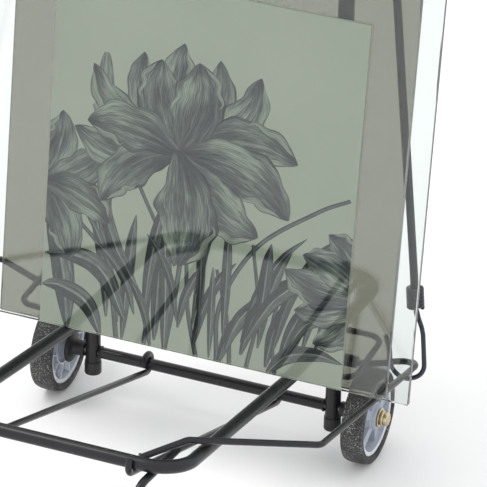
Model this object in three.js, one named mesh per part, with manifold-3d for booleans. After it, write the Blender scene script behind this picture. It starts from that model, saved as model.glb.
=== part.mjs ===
// A folding steel hand trolley on two wheels. Two sheets of glass and a printed panel stand on its
// raised platform, lean on its uprights and are held by one elastic cord with a wire hook at each end.
// Millimetres. +X is the trolley's left-to-right, +Y its back, +Z up. Everything is laid out with Z = 0
// on the floor and Y = 0 on the axle, and the whole group is then moved onto its bottom centre.
import * as THREE from 'three';
import { mergeVertices } from 'three/addons/utils/BufferGeometryUtils.js';
import Module from 'manifold-3d';

const wasm = await Module();
wasm.setup();

// ---- driving dimensions --------------------------------------------------------------------------
const GAP = 0.3;
const WHEEL_RADIUS = 50;
const WHEEL_WIDTH = 24;
const WHEEL_CENTRE_X = 171;
const WHEEL_SIDES = 28;
const HUB_RADIUS = 40.7;
const BUSH_RADIUS = 7;
const AXLE_RADIUS = 4;
const AXLE_TUBE_RADIUS = 6;
const UPRIGHT_X = 133;
const UPRIGHT_RADIUS = 8;
const UPRIGHT_BORE = 6.7;
const UPRIGHT_LEAN = THREE.MathUtils.degToRad(3.2);
const UPRIGHT_BOTTOM = -17;
const UPRIGHT_TOP = 775;
const COLLAR_RADIUS = 12;
const COLLAR_TOP = 790;
const CROSS_TUBE_AT = 700;
const PIVOT_AT = 60;
const BOLT_RADIUS = 3;
const ARM_RADIUS = 6.65;
const ARM_LENGTH = 373;
const ARM_PITCH = THREE.MathUtils.degToRad(13.5);
const ARM_REAR_X = 117.8;
const ARM_FRONT_X = 121.5;
const WIRE_RADIUS = 3.25;
const STAND_RADIUS = 4;
const LOOP_RADIUS = 3;
const STACK_X = 15.4;
const STACK_FRONT_Y = -98.6;
const STACK_LEAN = THREE.MathUtils.degToRad(10.3);
const CLEAR_PANE = { width: 466, height: 640, thickness: 6 };
const PRINT_PANEL = { width: 324, height: 375, thickness: 3 };
const TINTED_PANE = { width: 415, height: 630, thickness: 6 };
const CORD_RADIUS = 4;
const HOOK_WIRE_RADIUS = 2.4;
const HOOK_BEND = 17.5;
const COIL_RADIUS = 10.2;
const COIL_LENGTH = 27;
const HANDLE_AT = 937;
const HANDLE_TUBE_RADIUS = 6.4;
const HANDLE_TUBE_BOTTOM = 480;
const HANDLE_RADIUS = 15;
const GRIP_SEAT_RADIUS = 11;
const BUTTON_TRAVEL = 4;

const X_AXIS = new THREE.Vector3(1, 0, 0);
const UPRIGHT_AXIS = new THREE.Vector3(0, Math.sin(UPRIGHT_LEAN), Math.cos(UPRIGHT_LEAN));
const ARM_AXIS = new THREE.Vector3(0, -Math.cos(ARM_PITCH), Math.sin(ARM_PITCH));

// ---- materials -----------------------------------------------------------------------------------
const paint = (color, roughness, metalness = 0) => ({ color, roughness, metalness });
const BLACK_STEEL = paint(0x1c1d20, 0.4, 0.3);
const BLACK_PLASTIC = paint(0x18181a, 0.55);
const BRIGHT_STEEL = paint(0xb9bcc0, 0.3, 1);
const BRASS = paint(0xc9b48c, 0.35, 0.8);
const TYRE_RUBBER = paint(0x333334, 0.9);
const HUB_PLASTIC = paint(0x6a727a, 0.5);
const BUSH_NYLON = paint(0xcfd0cc, 0.6);
const FOOT_RUBBER = paint(0x202021, 0.9);
const GRIP_RUBBER = paint(0x29292b, 0.85);
const BUTTON_PLASTIC = paint(0x8c9097, 0.45);
const HOOK_STEEL = paint(0x141a2b, 0.3, 0.4);
const CORD_BRAID = paint(0x3c444b, 0.9);
const CLEAR_GLASS = paint(0xdfe9e6, 0.05);
const TINTED_GLASS = paint(0x6f6d58, 0.05);
const PRINTED_BOARD = paint(0x8ba27e, 0.7);

// ---- shape helpers -------------------------------------------------------------------------------
const vector = (point) => new THREE.Vector3(...point);

// A rod's centre line: straight runs joined by true arcs. Its stations are only the ends of the
// straight runs and a few steps along each arc, so a long straight run costs nothing.
class BentRod extends THREE.Curve {
  constructor(corners, bendRadius, stepsPerBend = 5) {
    super();
    this.stations = [];
    const points = corners.map(vector);
    const last = points.length - 1;
    const heading = (i) => points[i + 1].clone().sub(points[i]).normalize();
    this.addStation(points[0], heading(0));
    for (let i = 1; i < last; i += 1) {
      this.addBend(points[i], heading(i - 1), heading(i), bendRadius, stepsPerBend);
    }
    this.addStation(points[last], heading(last - 1));
  }

  addStation(point, tangent) {
    const previous = this.stations.at(-1);
    if (!previous || previous.point.distanceTo(point) > 0.01) {
      this.stations.push({ point: point.clone(), tangent: tangent.clone().normalize() });
    }
  }

  addBend(corner, arriving, leaving, radius, steps) {
    const angle = arriving.angleTo(leaving);
    const reach = radius * Math.tan(angle / 2);
    const start = corner.clone().addScaledVector(arriving, -reach);
    const inward = leaving.clone().addScaledVector(arriving, -Math.cos(angle)).normalize();
    for (let k = 0; k <= steps; k += 1) {
      const turned = (angle * k) / steps;
      const point = start.clone();
      point.addScaledVector(arriving, radius * Math.sin(turned));
      point.addScaledVector(inward, radius * (1 - Math.cos(turned)));
      const tangent = arriving.clone().multiplyScalar(Math.cos(turned));
      tangent.addScaledVector(inward, Math.sin(turned));
      this.addStation(point, tangent);
    }
  }

  get steps() {
    return this.stations.length - 1;
  }

  getPointAt(u, target = new THREE.Vector3()) {
    return target.copy(this.stations[Math.round(u * this.steps)].point);
  }

  getTangentAt(u, target = new THREE.Vector3()) {
    return target.copy(this.stations[Math.round(u * this.steps)].tangent);
  }
}

function polygon(radius, sides) {
  const corner = (_, i) => {
    const angle = (2 * Math.PI * (i + 0.5)) / sides;
    return new THREE.Vector2(radius * Math.cos(angle), radius * Math.sin(angle));
  };
  return Array.from({ length: sides }, corner);
}

function rod(corners, radius, { bend = 10, sides = 8, stepsPerBend = 5 } = {}) {
  const path = new BentRod(corners, bend, stepsPerBend);
  const section = new THREE.Shape(polygon(radius, sides));
  return new THREE.ExtrudeGeometry(section, { steps: path.steps, extrudePath: path });
}

// A tube or a solid bar along Z, from bottom to top.
function tube(radius, bore, bottom, top, sides = 16) {
  const section = new THREE.Shape(polygon(radius, sides));
  if (bore > 0) section.holes.push(new THREE.Path(polygon(bore, sides).reverse()));
  const geometry = new THREE.ExtrudeGeometry(section, { depth: top - bottom, bevelEnabled: false });
  return geometry.translate(0, 0, bottom);
}

// A turned piece. Each profile point is [radius, height], and the axis of turning is +Z.
function turned(profile, sides = 24) {
  const points = profile.map(([radius, height]) => new THREE.Vector2(radius, height));
  return new THREE.LatheGeometry(points, sides).rotateX(Math.PI / 2);
}

const ringProfile = (inner, outer, bottom, top, edge = 0) => [
  [inner, bottom], [outer - edge, bottom], [outer, bottom + edge],
  [outer, top - edge], [outer - edge, top], [inner, top], [inner, bottom],
].filter((point, i, all) => i === 0 || point[0] !== all[i - 1][0] || point[1] !== all[i - 1][1]);

function block(width, depth, height) {
  return new THREE.BoxGeometry(width, depth, height);
}

function roundedRectangle(width, height, radius) {
  const [x, y] = [width / 2 - radius, height / 2 - radius];
  const shape = new THREE.Shape();
  shape.absarc(x, y, radius, 0, Math.PI / 2);
  shape.absarc(-x, y, radius, Math.PI / 2, Math.PI);
  shape.absarc(-x, -y, radius, Math.PI, 1.5 * Math.PI);
  shape.absarc(x, -y, radius, 1.5 * Math.PI, 2 * Math.PI);
  return shape;
}

function toSolid(geometry) {
  const bare = geometry.clone();
  bare.deleteAttribute('normal');
  bare.deleteAttribute('uv');
  const merged = mergeVertices(bare, 1e-3);
  const corners = [];
  for (let i = 0; i < merged.index.count; i += 3) {
    const [a, b, c] = [0, 1, 2].map((k) => merged.index.getX(i + k));
    if (a !== b && b !== c && c !== a) corners.push(a, b, c);
  }
  const vertProperties = Float32Array.from(merged.attributes.position.array);
  const mesh = new wasm.Mesh({ numProp: 3, vertProperties, triVerts: Uint32Array.from(corners) });
  return new wasm.Manifold(mesh);
}

function toGeometry(solid) {
  const mesh = solid.getMesh();
  const geometry = new THREE.BufferGeometry();
  geometry.setAttribute('position', new THREE.Float32BufferAttribute(mesh.vertProperties, 3));
  geometry.setIndex(Array.from(mesh.triVerts));
  geometry.computeVertexNormals();
  return geometry;
}

function cut(geometry, ...tools) {
  return toGeometry(tools.reduce((solid, tool) => solid.subtract(toSolid(tool)), toSolid(geometry)));
}

function join(geometry, ...others) {
  return toGeometry(others.reduce((solid, other) => solid.add(toSolid(other)), toSolid(geometry)));
}

// ---- placing -------------------------------------------------------------------------------------
const trolley = new THREE.Group();
const SIDES = [{ side: 'left', sign: -1 }, { side: 'right', sign: 1 }];

function add(name, geometry, finish, parent = trolley) {
  const mesh = new THREE.Mesh(geometry, new THREE.MeshStandardMaterial(finish));
  mesh.name = name;
  parent.add(mesh);
  return mesh;
}

// A point on the centre line of an upright, given its distance up from the axle.
const onUpright = (x, distance) => [
  x, distance * UPRIGHT_AXIS.y, WHEEL_RADIUS + distance * UPRIGHT_AXIS.z,
];

// A frame whose Z runs up an upright, standing at a distance up from the axle.
function uprightFrame(x, distance) {
  const frame = new THREE.Group();
  frame.position.set(...onUpright(x, distance));
  frame.rotation.x = -UPRIGHT_LEAN;
  trolley.add(frame);
  return frame;
}

// A frame whose Z runs outward along the axle, for the wheel and all that stands round the axle.
function axleFrame(sign, x = 0, y = 0, z = WHEEL_RADIUS) {
  const frame = new THREE.Group();
  frame.position.set(sign * x, y, z);
  frame.rotation.y = (sign * Math.PI) / 2;
  trolley.add(frame);
  return frame;
}

// ---- uprights, axle and the tubes between them -----------------------------------------------------
function addUpright({ side, sign }) {
  const frame = uprightFrame(sign * UPRIGHT_X, 0);
  const acrossHole = (radius, height) =>
    tube(radius, 0, -20, 20, 12).rotateY(Math.PI / 2).translate(0, 0, height);
  const body = tube(UPRIGHT_RADIUS, UPRIGHT_BORE, UPRIGHT_BOTTOM, UPRIGHT_TOP);
  const drilled = cut(body, acrossHole(AXLE_RADIUS + GAP, 0), acrossHole(BOLT_RADIUS + GAP, PIVOT_AT));
  add(`${side}_upright`, drilled, BLACK_STEEL, frame);

  const capBottom = UPRIGHT_BOTTOM - 8.5;
  const cap = turned([
    [0, capBottom], [UPRIGHT_RADIUS - 0.5, capBottom], [UPRIGHT_RADIUS + 1.8, capBottom + 2.5],
    [UPRIGHT_RADIUS + 1.8, UPRIGHT_BOTTOM + 6], [UPRIGHT_RADIUS + GAP, UPRIGHT_BOTTOM + 6],
    [UPRIGHT_RADIUS + GAP, UPRIGHT_BOTTOM - GAP], [0, UPRIGHT_BOTTOM - GAP],
  ], 16);
  add(`${side}_upright_cap`, cap, BLACK_PLASTIC, frame);

  const collar = turned([
    [UPRIGHT_RADIUS + GAP, UPRIGHT_TOP - 10], [COLLAR_RADIUS - 1, UPRIGHT_TOP - 10],
    [COLLAR_RADIUS, UPRIGHT_TOP - 9], [COLLAR_RADIUS, COLLAR_TOP - 1.5], [COLLAR_RADIUS - 1.5, COLLAR_TOP],
    [UPRIGHT_BORE, COLLAR_TOP], [UPRIGHT_BORE, UPRIGHT_TOP + GAP],
    [UPRIGHT_RADIUS + GAP, UPRIGHT_TOP + GAP], [UPRIGHT_RADIUS + GAP, UPRIGHT_TOP - 10],
  ], 16);
  add(`${side}_collar`, collar, BLACK_PLASTIC, frame);
}

function addCrossTube(name, distance, bore) {
  const halfLength = UPRIGHT_X - UPRIGHT_RADIUS - GAP;
  const mesh = add(name, tube(AXLE_TUBE_RADIUS, bore, -halfLength, halfLength, 14), BLACK_STEEL);
  mesh.rotation.y = Math.PI / 2;
  mesh.position.set(...onUpright(0, distance));
}

const AXLE_END = 189.5;
const WHEEL_INNER_FACE = WHEEL_CENTRE_X - WHEEL_WIDTH / 2;
const WHEEL_OUTER_FACE = WHEEL_CENTRE_X + WHEEL_WIDTH / 2;

function addAxle() {
  addCrossTube('axle_tube', 0, AXLE_RADIUS + GAP);
  const axle = add('axle_rod', tube(AXLE_RADIUS, 0, -AXLE_END, AXLE_END, 14), BRIGHT_STEEL);
  axle.rotation.y = Math.PI / 2;
  axle.position.set(0, 0, WHEEL_RADIUS);
}

// ---- wheels --------------------------------------------------------------------------------------
function hubGeometry() {
  const half = WHEEL_WIDTH / 2;
  const bore = BUSH_RADIUS + GAP;
  const [bossRadius, webBack, webFront, rimHalf, rimInner] = [12.5, -2.5, 1.5, 9.5, 35.5];
  const body = turned([
    [bore, -half], [bossRadius, -half], [bossRadius + 0.8, webBack], [rimInner, webBack],
    [rimInner + 1, -rimHalf], [HUB_RADIUS, -rimHalf], [HUB_RADIUS, rimHalf], [rimInner + 1, rimHalf],
    [rimInner, webFront], [bossRadius + 0.8, webFront], [bossRadius, half], [bore, half], [bore, -half],
  ], WHEEL_SIDES);
  const ribs = Array.from({ length: 8 }, (_, i) => {
    const length = rimInner - bossRadius + 2;
    const rib = block(length, 2.4, 9).translate(bossRadius - 1 + length / 2, 0, webFront + 1.5);
    return rib.rotateZ((i * Math.PI) / 4);
  });
  return join(body, ...ribs);
}

function addWheel({ side, sign }) {
  const frame = axleFrame(sign, WHEEL_CENTRE_X);
  const half = WHEEL_WIDTH / 2;
  const seat = HUB_RADIUS + GAP;
  const tyre = turned([
    [seat, -half + 2], [seat + 2, -half], [WHEEL_RADIUS - 3.2, -half + 0.6], [WHEEL_RADIUS - 0.8, -half + 4],
    [WHEEL_RADIUS, -half + 8.5], [WHEEL_RADIUS, half - 8.5], [WHEEL_RADIUS - 0.8, half - 4],
    [WHEEL_RADIUS - 3.2, half - 0.6], [seat + 2, half], [seat, half - 2], [seat, -half + 2],
  ], WHEEL_SIDES);
  add(`${side}_tyre`, tyre, TYRE_RUBBER, frame);
  add(`${side}_hub`, hubGeometry(), HUB_PLASTIC, frame);
  const bushHalf = half + 0.2;
  const bush = ringProfile(AXLE_RADIUS + GAP, BUSH_RADIUS, -bushHalf, bushHalf);
  add(`${side}_bush`, turned(bush, 16), BUSH_NYLON, frame);
}

function addWheelFixings({ side, sign }) {
  const frame = axleFrame(sign);
  const bore = AXLE_RADIUS + GAP;
  const sleeveStart = UPRIGHT_X + UPRIGHT_RADIUS + GAP;
  const discEnd = WHEEL_INNER_FACE - 0.6;
  const flange = turned([
    [bore, sleeveStart], [7.5, sleeveStart], [8.5, discEnd - 5], [17, discEnd - 2.5],
    [17, discEnd], [bore, discEnd], [bore, sleeveStart],
  ], 16);
  add(`${side}_wheel_flange`, flange, BLACK_PLASTIC, frame);
  const washerStart = WHEEL_OUTER_FACE + 0.6;
  const washerEnd = washerStart + 1.6;
  add(`${side}_washer`, turned(ringProfile(bore, 10, washerStart, washerEnd), 16), BRASS, frame);
  const nutStart = washerEnd + GAP;
  const socketEnd = AXLE_END + 0.5;
  const [rimRadius, capRadius] = [7.8, 6.9];
  const nut = turned([
    [0, socketEnd], [bore, socketEnd], [bore, nutStart], [rimRadius, nutStart], [rimRadius, nutStart + 2.4],
    [capRadius, nutStart + 3], [capRadius, nutStart + 6.2], [5.6, nutStart + 7.4], [0, nutStart + 8],
  ], 14);
  add(`${side}_domed_nut`, nut, BRASS, frame);
}

// ---- platform, wings, stays, loop and stand ----------------------------------------------------------
// A point in the plane of the platform arms, given its distance forward from the pivots.
function onArm(x, distance) {
  const pivot = vector(onUpright(x, PIVOT_AT));
  return pivot.addScaledVector(ARM_AXIS, distance).toArray();
}

const CROSSBAR = onArm(0, ARM_LENGTH);

// The height of the arms' top side at a given Y.
function armTop(y) {
  const [, pivotY, pivotZ] = onArm(0, 0);
  return pivotZ + (pivotY - y) * Math.tan(ARM_PITCH) + ARM_RADIUS / Math.cos(ARM_PITCH);
}

function addPlatform() {
  const behindPivot = -11;
  const corners = [
    onArm(-ARM_REAR_X, behindPivot), onArm(-ARM_FRONT_X, ARM_LENGTH),
    onArm(ARM_FRONT_X, ARM_LENGTH), onArm(ARM_REAR_X, behindPivot),
  ];
  const bar = rod(corners, ARM_RADIUS, { bend: 35, sides: 12, stepsPerBend: 6 });
  const hole = tube(BOLT_RADIUS + GAP, 0, -160, 160, 12).rotateY(Math.PI / 2);
  hole.translate(...onUpright(0, PIVOT_AT));
  add('platform_tube', cut(bar, hole), BLACK_STEEL);
}

const SLEEVE_END = UPRIGHT_X + UPRIGHT_RADIUS + 18;
const BOLT_END = UPRIGHT_X + UPRIGHT_RADIUS + 6;

function addPivot({ side, sign }) {
  const [, y, z] = onUpright(0, PIVOT_AT);
  const frame = axleFrame(sign, 0, y, z);
  const headEnd = ARM_REAR_X - ARM_RADIUS - GAP;
  const bolt = turned([
    [0, headEnd - 5], [4, headEnd - 4.4], [6, headEnd - 2.5], [6, headEnd], [BOLT_RADIUS, headEnd],
    [BOLT_RADIUS, BOLT_END], [0, BOLT_END],
  ], 16);
  add(`${side}_arm_bolt`, bolt, BRIGHT_STEEL, frame);
  const sleeveStart = UPRIGHT_X + UPRIGHT_RADIUS + GAP;
  const sleeve = turned(ringProfile(WIRE_RADIUS + GAP, 6.2, sleeveStart, SLEEVE_END, 0.8), 16);
  add(`${side}_wing_sleeve`, sleeve, BLACK_PLASTIC, frame);
}

// The outermost run of each wing, as its rear and front corners.
const WING_RUN = {
  left: { rear: [-262, 44, 112], front: [-266, -212, 156.4] },
  right: { rear: [218.9, 28, 112.2], front: [203.8, -212, 156.4] },
};

function addWing({ side, sign }) {
  const pivot = onUpright(0, PIVOT_AT);
  const run = WING_RUN[side];
  const corners = [
    [sign * (BOLT_END + 0.5), pivot[1], pivot[2]], [sign * (SLEEVE_END + 8), pivot[1], pivot[2]],
    run.rear, run.front, [sign * 110.5, -312, 200.5],
    [sign * 79.5, CROSSBAR[1] + ARM_RADIUS + 2.4, CROSSBAR[2]],
  ];
  add(`${side}_wing_wire`, rod(corners, WIRE_RADIUS, { bend: 15, stepsPerBend: 4 }), BLACK_STEEL);
}

// Each stay is ringed over the axle tube, runs forward from beneath it, passes under the crossbar and
// turns up in front. Its corners are laid out along the run (ahead) and square to it (rise).
function addStay({ side, sign }) {
  const ring = AXLE_TUBE_RADIUS + WIRE_RADIUS + 0.6;
  const hook = ARM_RADIUS + WIRE_RADIUS + 0.4;
  const axle = new THREE.Vector2(0, WHEEL_RADIUS);
  const toBar = new THREE.Vector2(CROSSBAR[1], CROSSBAR[2]).sub(axle);
  const swing = Math.asin((hook - ring) / toBar.length());
  const ahead = toBar.clone().normalize().rotateAround(new THREE.Vector2(), swing);
  const rise = new THREE.Vector2(ahead.y, -ahead.x);
  const reach = toBar.dot(ahead);
  const place = (along, up) => {
    const flat = axle.clone().addScaledVector(ahead, along).addScaledVector(rise, up);
    return [sign * (72.2 + (3.5 * along) / reach), flat.x, flat.y];
  };
  const corners = [
    place(ring, -1.2), place(ring, ring), place(-ring, ring), place(-ring, -ring),
    place(reach + hook, -ring), place(reach + hook, 4 + hook - ring),
  ];
  add(`${side}_stay`, rod(corners, WIRE_RADIUS, { bend: ring - 0.001, stepsPerBend: 4 }), BLACK_STEEL);
}

// A closed wire loop that lies on the arms in front of the uprights and passes close behind them.
function addRearLoop() {
  const [halfWidth, front] = [181, -65];
  const z = armTop(front) + LOOP_RADIUS + 0.6;
  const rear = onUpright(0, z - WHEEL_RADIUS)[1] + UPRIGHT_RADIUS + LOOP_RADIUS + 0.5;
  const seam = 0.25;
  const corners = [
    [seam, rear, z], [halfWidth, rear, z], [halfWidth, front, z],
    [-halfWidth, front, z], [-halfWidth, rear, z], [-seam, rear, z],
  ];
  add('rear_loop', rod(corners, LOOP_RADIUS, { bend: 14, stepsPerBend: 4 }), BLACK_STEEL);
}

const FOOT = { x: 46, y: -393, width: 30, depth: 17, height: 14, barHeight: 9 };

function addStand() {
  const under = CROSSBAR[2] - ARM_RADIUS - STAND_RADIUS - 1.2;
  const half = [[99.5, -312, under + 1.8], [88.5, FOOT.y + 6, under], [88, FOOT.y, FOOT.barHeight]];
  const mirrored = half.map(([x, y, z]) => [-x, y, z]).reverse();
  const stand = rod([...half, ...mirrored], STAND_RADIUS, { bend: 22, stepsPerBend: 5 });
  add('front_stand', stand, BLACK_STEEL);
  for (const { side, sign } of SIDES) {
    const pad = new THREE.ExtrudeGeometry(roundedRectangle(FOOT.width, FOOT.depth, 4), {
      depth: FOOT.height, bevelEnabled: false, curveSegments: 3,
    });
    const groove = tube(STAND_RADIUS + GAP, 0, -20, 20, 12)
      .rotateY(Math.PI / 2).translate(0, 0, FOOT.barHeight);
    const foot = add(`${side}_foot`, cut(pad, groove), FOOT_RUBBER);
    foot.position.set(sign * FOOT.x, FOOT.y, 0);
  }
}

// ---- the leaning stack of sheets ---------------------------------------------------------------------
// Each sheet slides down the leaning plane until its front bottom edge just meets the arms.
function restingHeight(front) {
  const [sine, cosine, slope] = [Math.sin(STACK_LEAN), Math.cos(STACK_LEAN), Math.tan(ARM_PITCH)];
  const edgeY = STACK_FRONT_Y + front * cosine;
  const edgeZ = armTop(STACK_FRONT_Y) - front * sine;
  return (armTop(edgeY) + GAP - edgeZ) / (cosine + sine * slope);
}

function addStack() {
  const frame = new THREE.Group();
  frame.position.set(STACK_X, STACK_FRONT_Y, armTop(STACK_FRONT_Y));
  frame.rotation.x = -STACK_LEAN;
  trolley.add(frame);
  let front = 0;
  const addSheet = (name, { width, height, thickness }, finish) => {
    const sheet = add(name, block(width, thickness, height), finish, frame);
    sheet.position.set(0, front + thickness / 2, restingHeight(front) + height / 2);
    front += thickness + GAP;
  };
  addSheet('clear_pane', CLEAR_PANE, CLEAR_GLASS);
  addSheet('print_panel', PRINT_PANEL, PRINTED_BOARD);
  addSheet('tinted_pane', TINTED_PANE, TINTED_GLASS);
}

// ---- elastic cord and its hooks ----------------------------------------------------------------------
const COIL_OFFSET = 11.2;
const COIL_BOTTOM = 71.2;
const CORD_START = 84.5;

// The place on a wing's outer run at a given Y.
function onWing(side, y) {
  const [rear, front] = [vector(WING_RUN[side].rear), vector(WING_RUN[side].front)];
  return rear.lerp(front, (y - rear.y) / (front.y - rear.y));
}

// A hook's own frame: Z is the way the cord pulls, X points outward, and the origin is on the wing wire.
function hookFrame(side, sign, y, cordTarget) {
  const frame = new THREE.Group();
  const seat = onWing(side, y);
  const pull = vector(cordTarget).sub(seat).normalize();
  const outward = X_AXIS.clone().multiplyScalar(sign);
  outward.addScaledVector(pull, -outward.dot(pull)).normalize();
  const across = pull.clone().cross(outward);
  frame.quaternion.setFromRotationMatrix(new THREE.Matrix4().makeBasis(outward, across, pull));
  frame.position.copy(seat);
  trolley.add(frame);
  frame.updateMatrixWorld(true);
  return frame;
}

function addHook(side, frame) {
  const bendBottom = -(WIRE_RADIUS + HOOK_WIRE_RADIUS + 0.4);
  const tipHeight = bendBottom + HOOK_BEND + 28;
  const corners = [
    [-HOOK_BEND - 3, 0, tipHeight], [-HOOK_BEND, 0, tipHeight - 14], [-HOOK_BEND, 0, bendBottom],
    [HOOK_BEND, 0, bendBottom], [HOOK_BEND, 0, 46], [COIL_OFFSET, 0, 66], [COIL_OFFSET, 0, CORD_START - 1],
  ];
  add(`${side}_hook`, hookRod(corners), HOOK_STEEL, frame);
  const section = ringProfile(CORD_RADIUS + GAP, COIL_RADIUS, COIL_BOTTOM, COIL_BOTTOM + COIL_LENGTH, 1.5);
  add(`${side}_hook_coil`, turned(section, 16).translate(COIL_OFFSET, 0, 0), HOOK_STEEL, frame);
}

// The hook's big bend is a half circle, and its small bends are as tight as the wire allows.
function hookRod(corners) {
  const [tip, shoulder, left, right, knee, neck, end] = corners;
  const tightBend = 6;
  const path = new BentRod([shoulder, left, right, knee], HOOK_BEND - 0.001, 6);
  const before = new BentRod([tip, shoulder, left], tightBend, 3).stations.slice(0, -1);
  const after = new BentRod([right, knee, neck, end], tightBend, 3).stations.slice(1);
  path.stations = [...before, ...path.stations.slice(1, -1), ...after];
  const section = new THREE.Shape(polygon(HOOK_WIRE_RADIUS, 8));
  return new THREE.ExtrudeGeometry(section, { steps: path.steps, extrudePath: path });
}

// The cord rests on both collars, crosses behind the handle tubes and comes forward over the glass.
const CORD_OVER_TOP = [
  [150.6, 50, 812], [149.6, 51, 832], [144.5, 53, 845], [133, 56.6, 847], [112, 56.2, 847],
  [-112, 56.2, 847], [-133, 56.6, 847], [-144.5, 52, 847], [-150, 40, 840], [-149, 29.5, 811],
  [-146, 21, 791], [-143, 10.5, 781],
];

function addCord() {
  const rightFrame = hookFrame('right', 1, -11, CORD_OVER_TOP[0]);
  const leftFrame = hookFrame('left', -1, -154, CORD_OVER_TOP.at(-1));
  addHook('right', rightFrame);
  addHook('left', leftFrame);
  const coilPoint = (frame, height) =>
    frame.localToWorld(new THREE.Vector3(COIL_OFFSET, 0, height)).toArray();
  const coilTop = COIL_BOTTOM + COIL_LENGTH + 12;
  const corners = [
    coilPoint(rightFrame, CORD_START), coilPoint(rightFrame, coilTop),
    ...CORD_OVER_TOP,
    coilPoint(leftFrame, coilTop), coilPoint(leftFrame, CORD_START),
  ];
  add('elastic_cord', rod(corners, CORD_RADIUS, { bend: 9, stepsPerBend: 3 }), CORD_BRAID);
}

// ---- handle --------------------------------------------------------------------------------------------
const BUTTON = { width: 25.2, depth: 11.2, height: 10.4 };

function addHandle() {
  for (const { side, sign } of SIDES) {
    const frame = uprightFrame(sign * UPRIGHT_X, 0);
    const stem = tube(HANDLE_TUBE_RADIUS, HANDLE_TUBE_RADIUS - 1.2, HANDLE_TUBE_BOTTOM, HANDLE_AT - 1, 16);
    add(`${side}_handle_tube`, stem, BRIGHT_STEEL, frame);
  }
  const frame = uprightFrame(0, HANDLE_AT);
  const [seatStart, seatEnd, end] = [22, 107.7, 152];
  const bar = turned([
    [0, -end], [HANDLE_RADIUS - 3, -end], [HANDLE_RADIUS, -end + 3], [HANDLE_RADIUS, -seatEnd],
    [GRIP_SEAT_RADIUS, -seatEnd], [GRIP_SEAT_RADIUS, -seatStart], [HANDLE_RADIUS, -seatStart],
    [HANDLE_RADIUS, seatStart], [GRIP_SEAT_RADIUS, seatStart], [GRIP_SEAT_RADIUS, seatEnd],
    [HANDLE_RADIUS, seatEnd], [HANDLE_RADIUS, end - 3], [HANDLE_RADIUS - 3, end], [0, end],
  ], 18).rotateY(Math.PI / 2);
  const sockets = SIDES.map(({ sign }) => (
    tube(HANDLE_TUBE_RADIUS + GAP, 0, -30, 0, 16).translate(sign * UPRIGHT_X, 0, 0)
  ));
  const pocketFloor = 3;
  const pocket = block(BUTTON.width + 0.8, BUTTON.depth + 0.8, 20).translate(0, 0, pocketFloor + 10);
  add('handle_housing', cut(bar, ...sockets, pocket), BLACK_PLASTIC, frame);
  for (const { side, sign } of SIDES) {
    const profile = ringProfile(
      GRIP_SEAT_RADIUS + GAP, HANDLE_RADIUS + 0.5, seatStart + GAP, seatEnd - GAP, 1.5);
    add(`${side}_grip`, turned(profile, 18).rotateY((sign * Math.PI) / 2), GRIP_RUBBER, frame);
  }
  const button = new THREE.ExtrudeGeometry(roundedRectangle(BUTTON.width, BUTTON.depth, 3), {
    depth: BUTTON.height, bevelEnabled: false, curveSegments: 3,
  });
  button.translate(0, 0, pocketFloor + BUTTON_TRAVEL + 0.6);
  add('release_button', button, BUTTON_PLASTIC, frame);
}

// ---- assembly --------------------------------------------------------------------------------------------
SIDES.forEach(addUpright);
addAxle();
addCrossTube('top_cross_tube', CROSS_TUBE_AT, AXLE_RADIUS);
SIDES.forEach(addWheel);
SIDES.forEach(addWheelFixings);
addPlatform();
SIDES.forEach(addPivot);
SIDES.forEach(addWing);
SIDES.forEach(addStay);
addRearLoop();
addStand();
addStack();
addCord();
addHandle();

const outline = new THREE.Box3().setFromObject(trolley, true);
const middle = outline.getCenter(new THREE.Vector3());
trolley.position.set(-middle.x, -middle.y, -outline.min.z);

export default trolley;
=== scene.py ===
"""Visual model of a folding shopping trolley that carries a leaning stack of glass and a printed panel."""
import math
import random

import bmesh
import bpy
from mathutils import Matrix, Vector


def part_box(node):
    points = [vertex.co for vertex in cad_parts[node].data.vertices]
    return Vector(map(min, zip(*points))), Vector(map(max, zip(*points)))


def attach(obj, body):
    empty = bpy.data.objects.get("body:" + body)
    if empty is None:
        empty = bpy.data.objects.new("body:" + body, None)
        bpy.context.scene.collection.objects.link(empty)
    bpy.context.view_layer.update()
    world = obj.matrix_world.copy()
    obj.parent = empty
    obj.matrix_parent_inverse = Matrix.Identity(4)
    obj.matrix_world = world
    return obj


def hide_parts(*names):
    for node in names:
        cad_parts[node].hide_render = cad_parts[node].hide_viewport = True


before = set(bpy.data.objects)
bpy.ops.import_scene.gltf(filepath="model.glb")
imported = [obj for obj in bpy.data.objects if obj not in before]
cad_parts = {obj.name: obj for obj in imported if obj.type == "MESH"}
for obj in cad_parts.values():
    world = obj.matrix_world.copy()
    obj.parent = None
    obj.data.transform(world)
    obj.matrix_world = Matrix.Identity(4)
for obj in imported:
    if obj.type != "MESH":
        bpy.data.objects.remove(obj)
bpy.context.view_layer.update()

MM = 0.001

# ---- places and sizes, in millimetres from the axle's middle -------------------------------------


def box_mm(node):
    low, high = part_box(node)
    return Vector(low) / MM, Vector(high) / MM


def middle(node):
    low, high = box_mm(node)
    return (low + high) / 2


def extent(node):
    low, high = box_mm(node)
    return high - low


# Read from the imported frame.
AXLE = middle("axle_rod")
WHEEL_RADIUS = extent("left_tyre").z / 2
WHEEL_WIDTH = extent("left_tyre").x
WHEEL_X = middle("right_tyre").x - AXLE.x
AXLE_END = extent("axle_rod").x / 2
UPRIGHT_X = middle("right_upright").x - AXLE.x
FLOOR = -WHEEL_RADIUS

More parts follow.
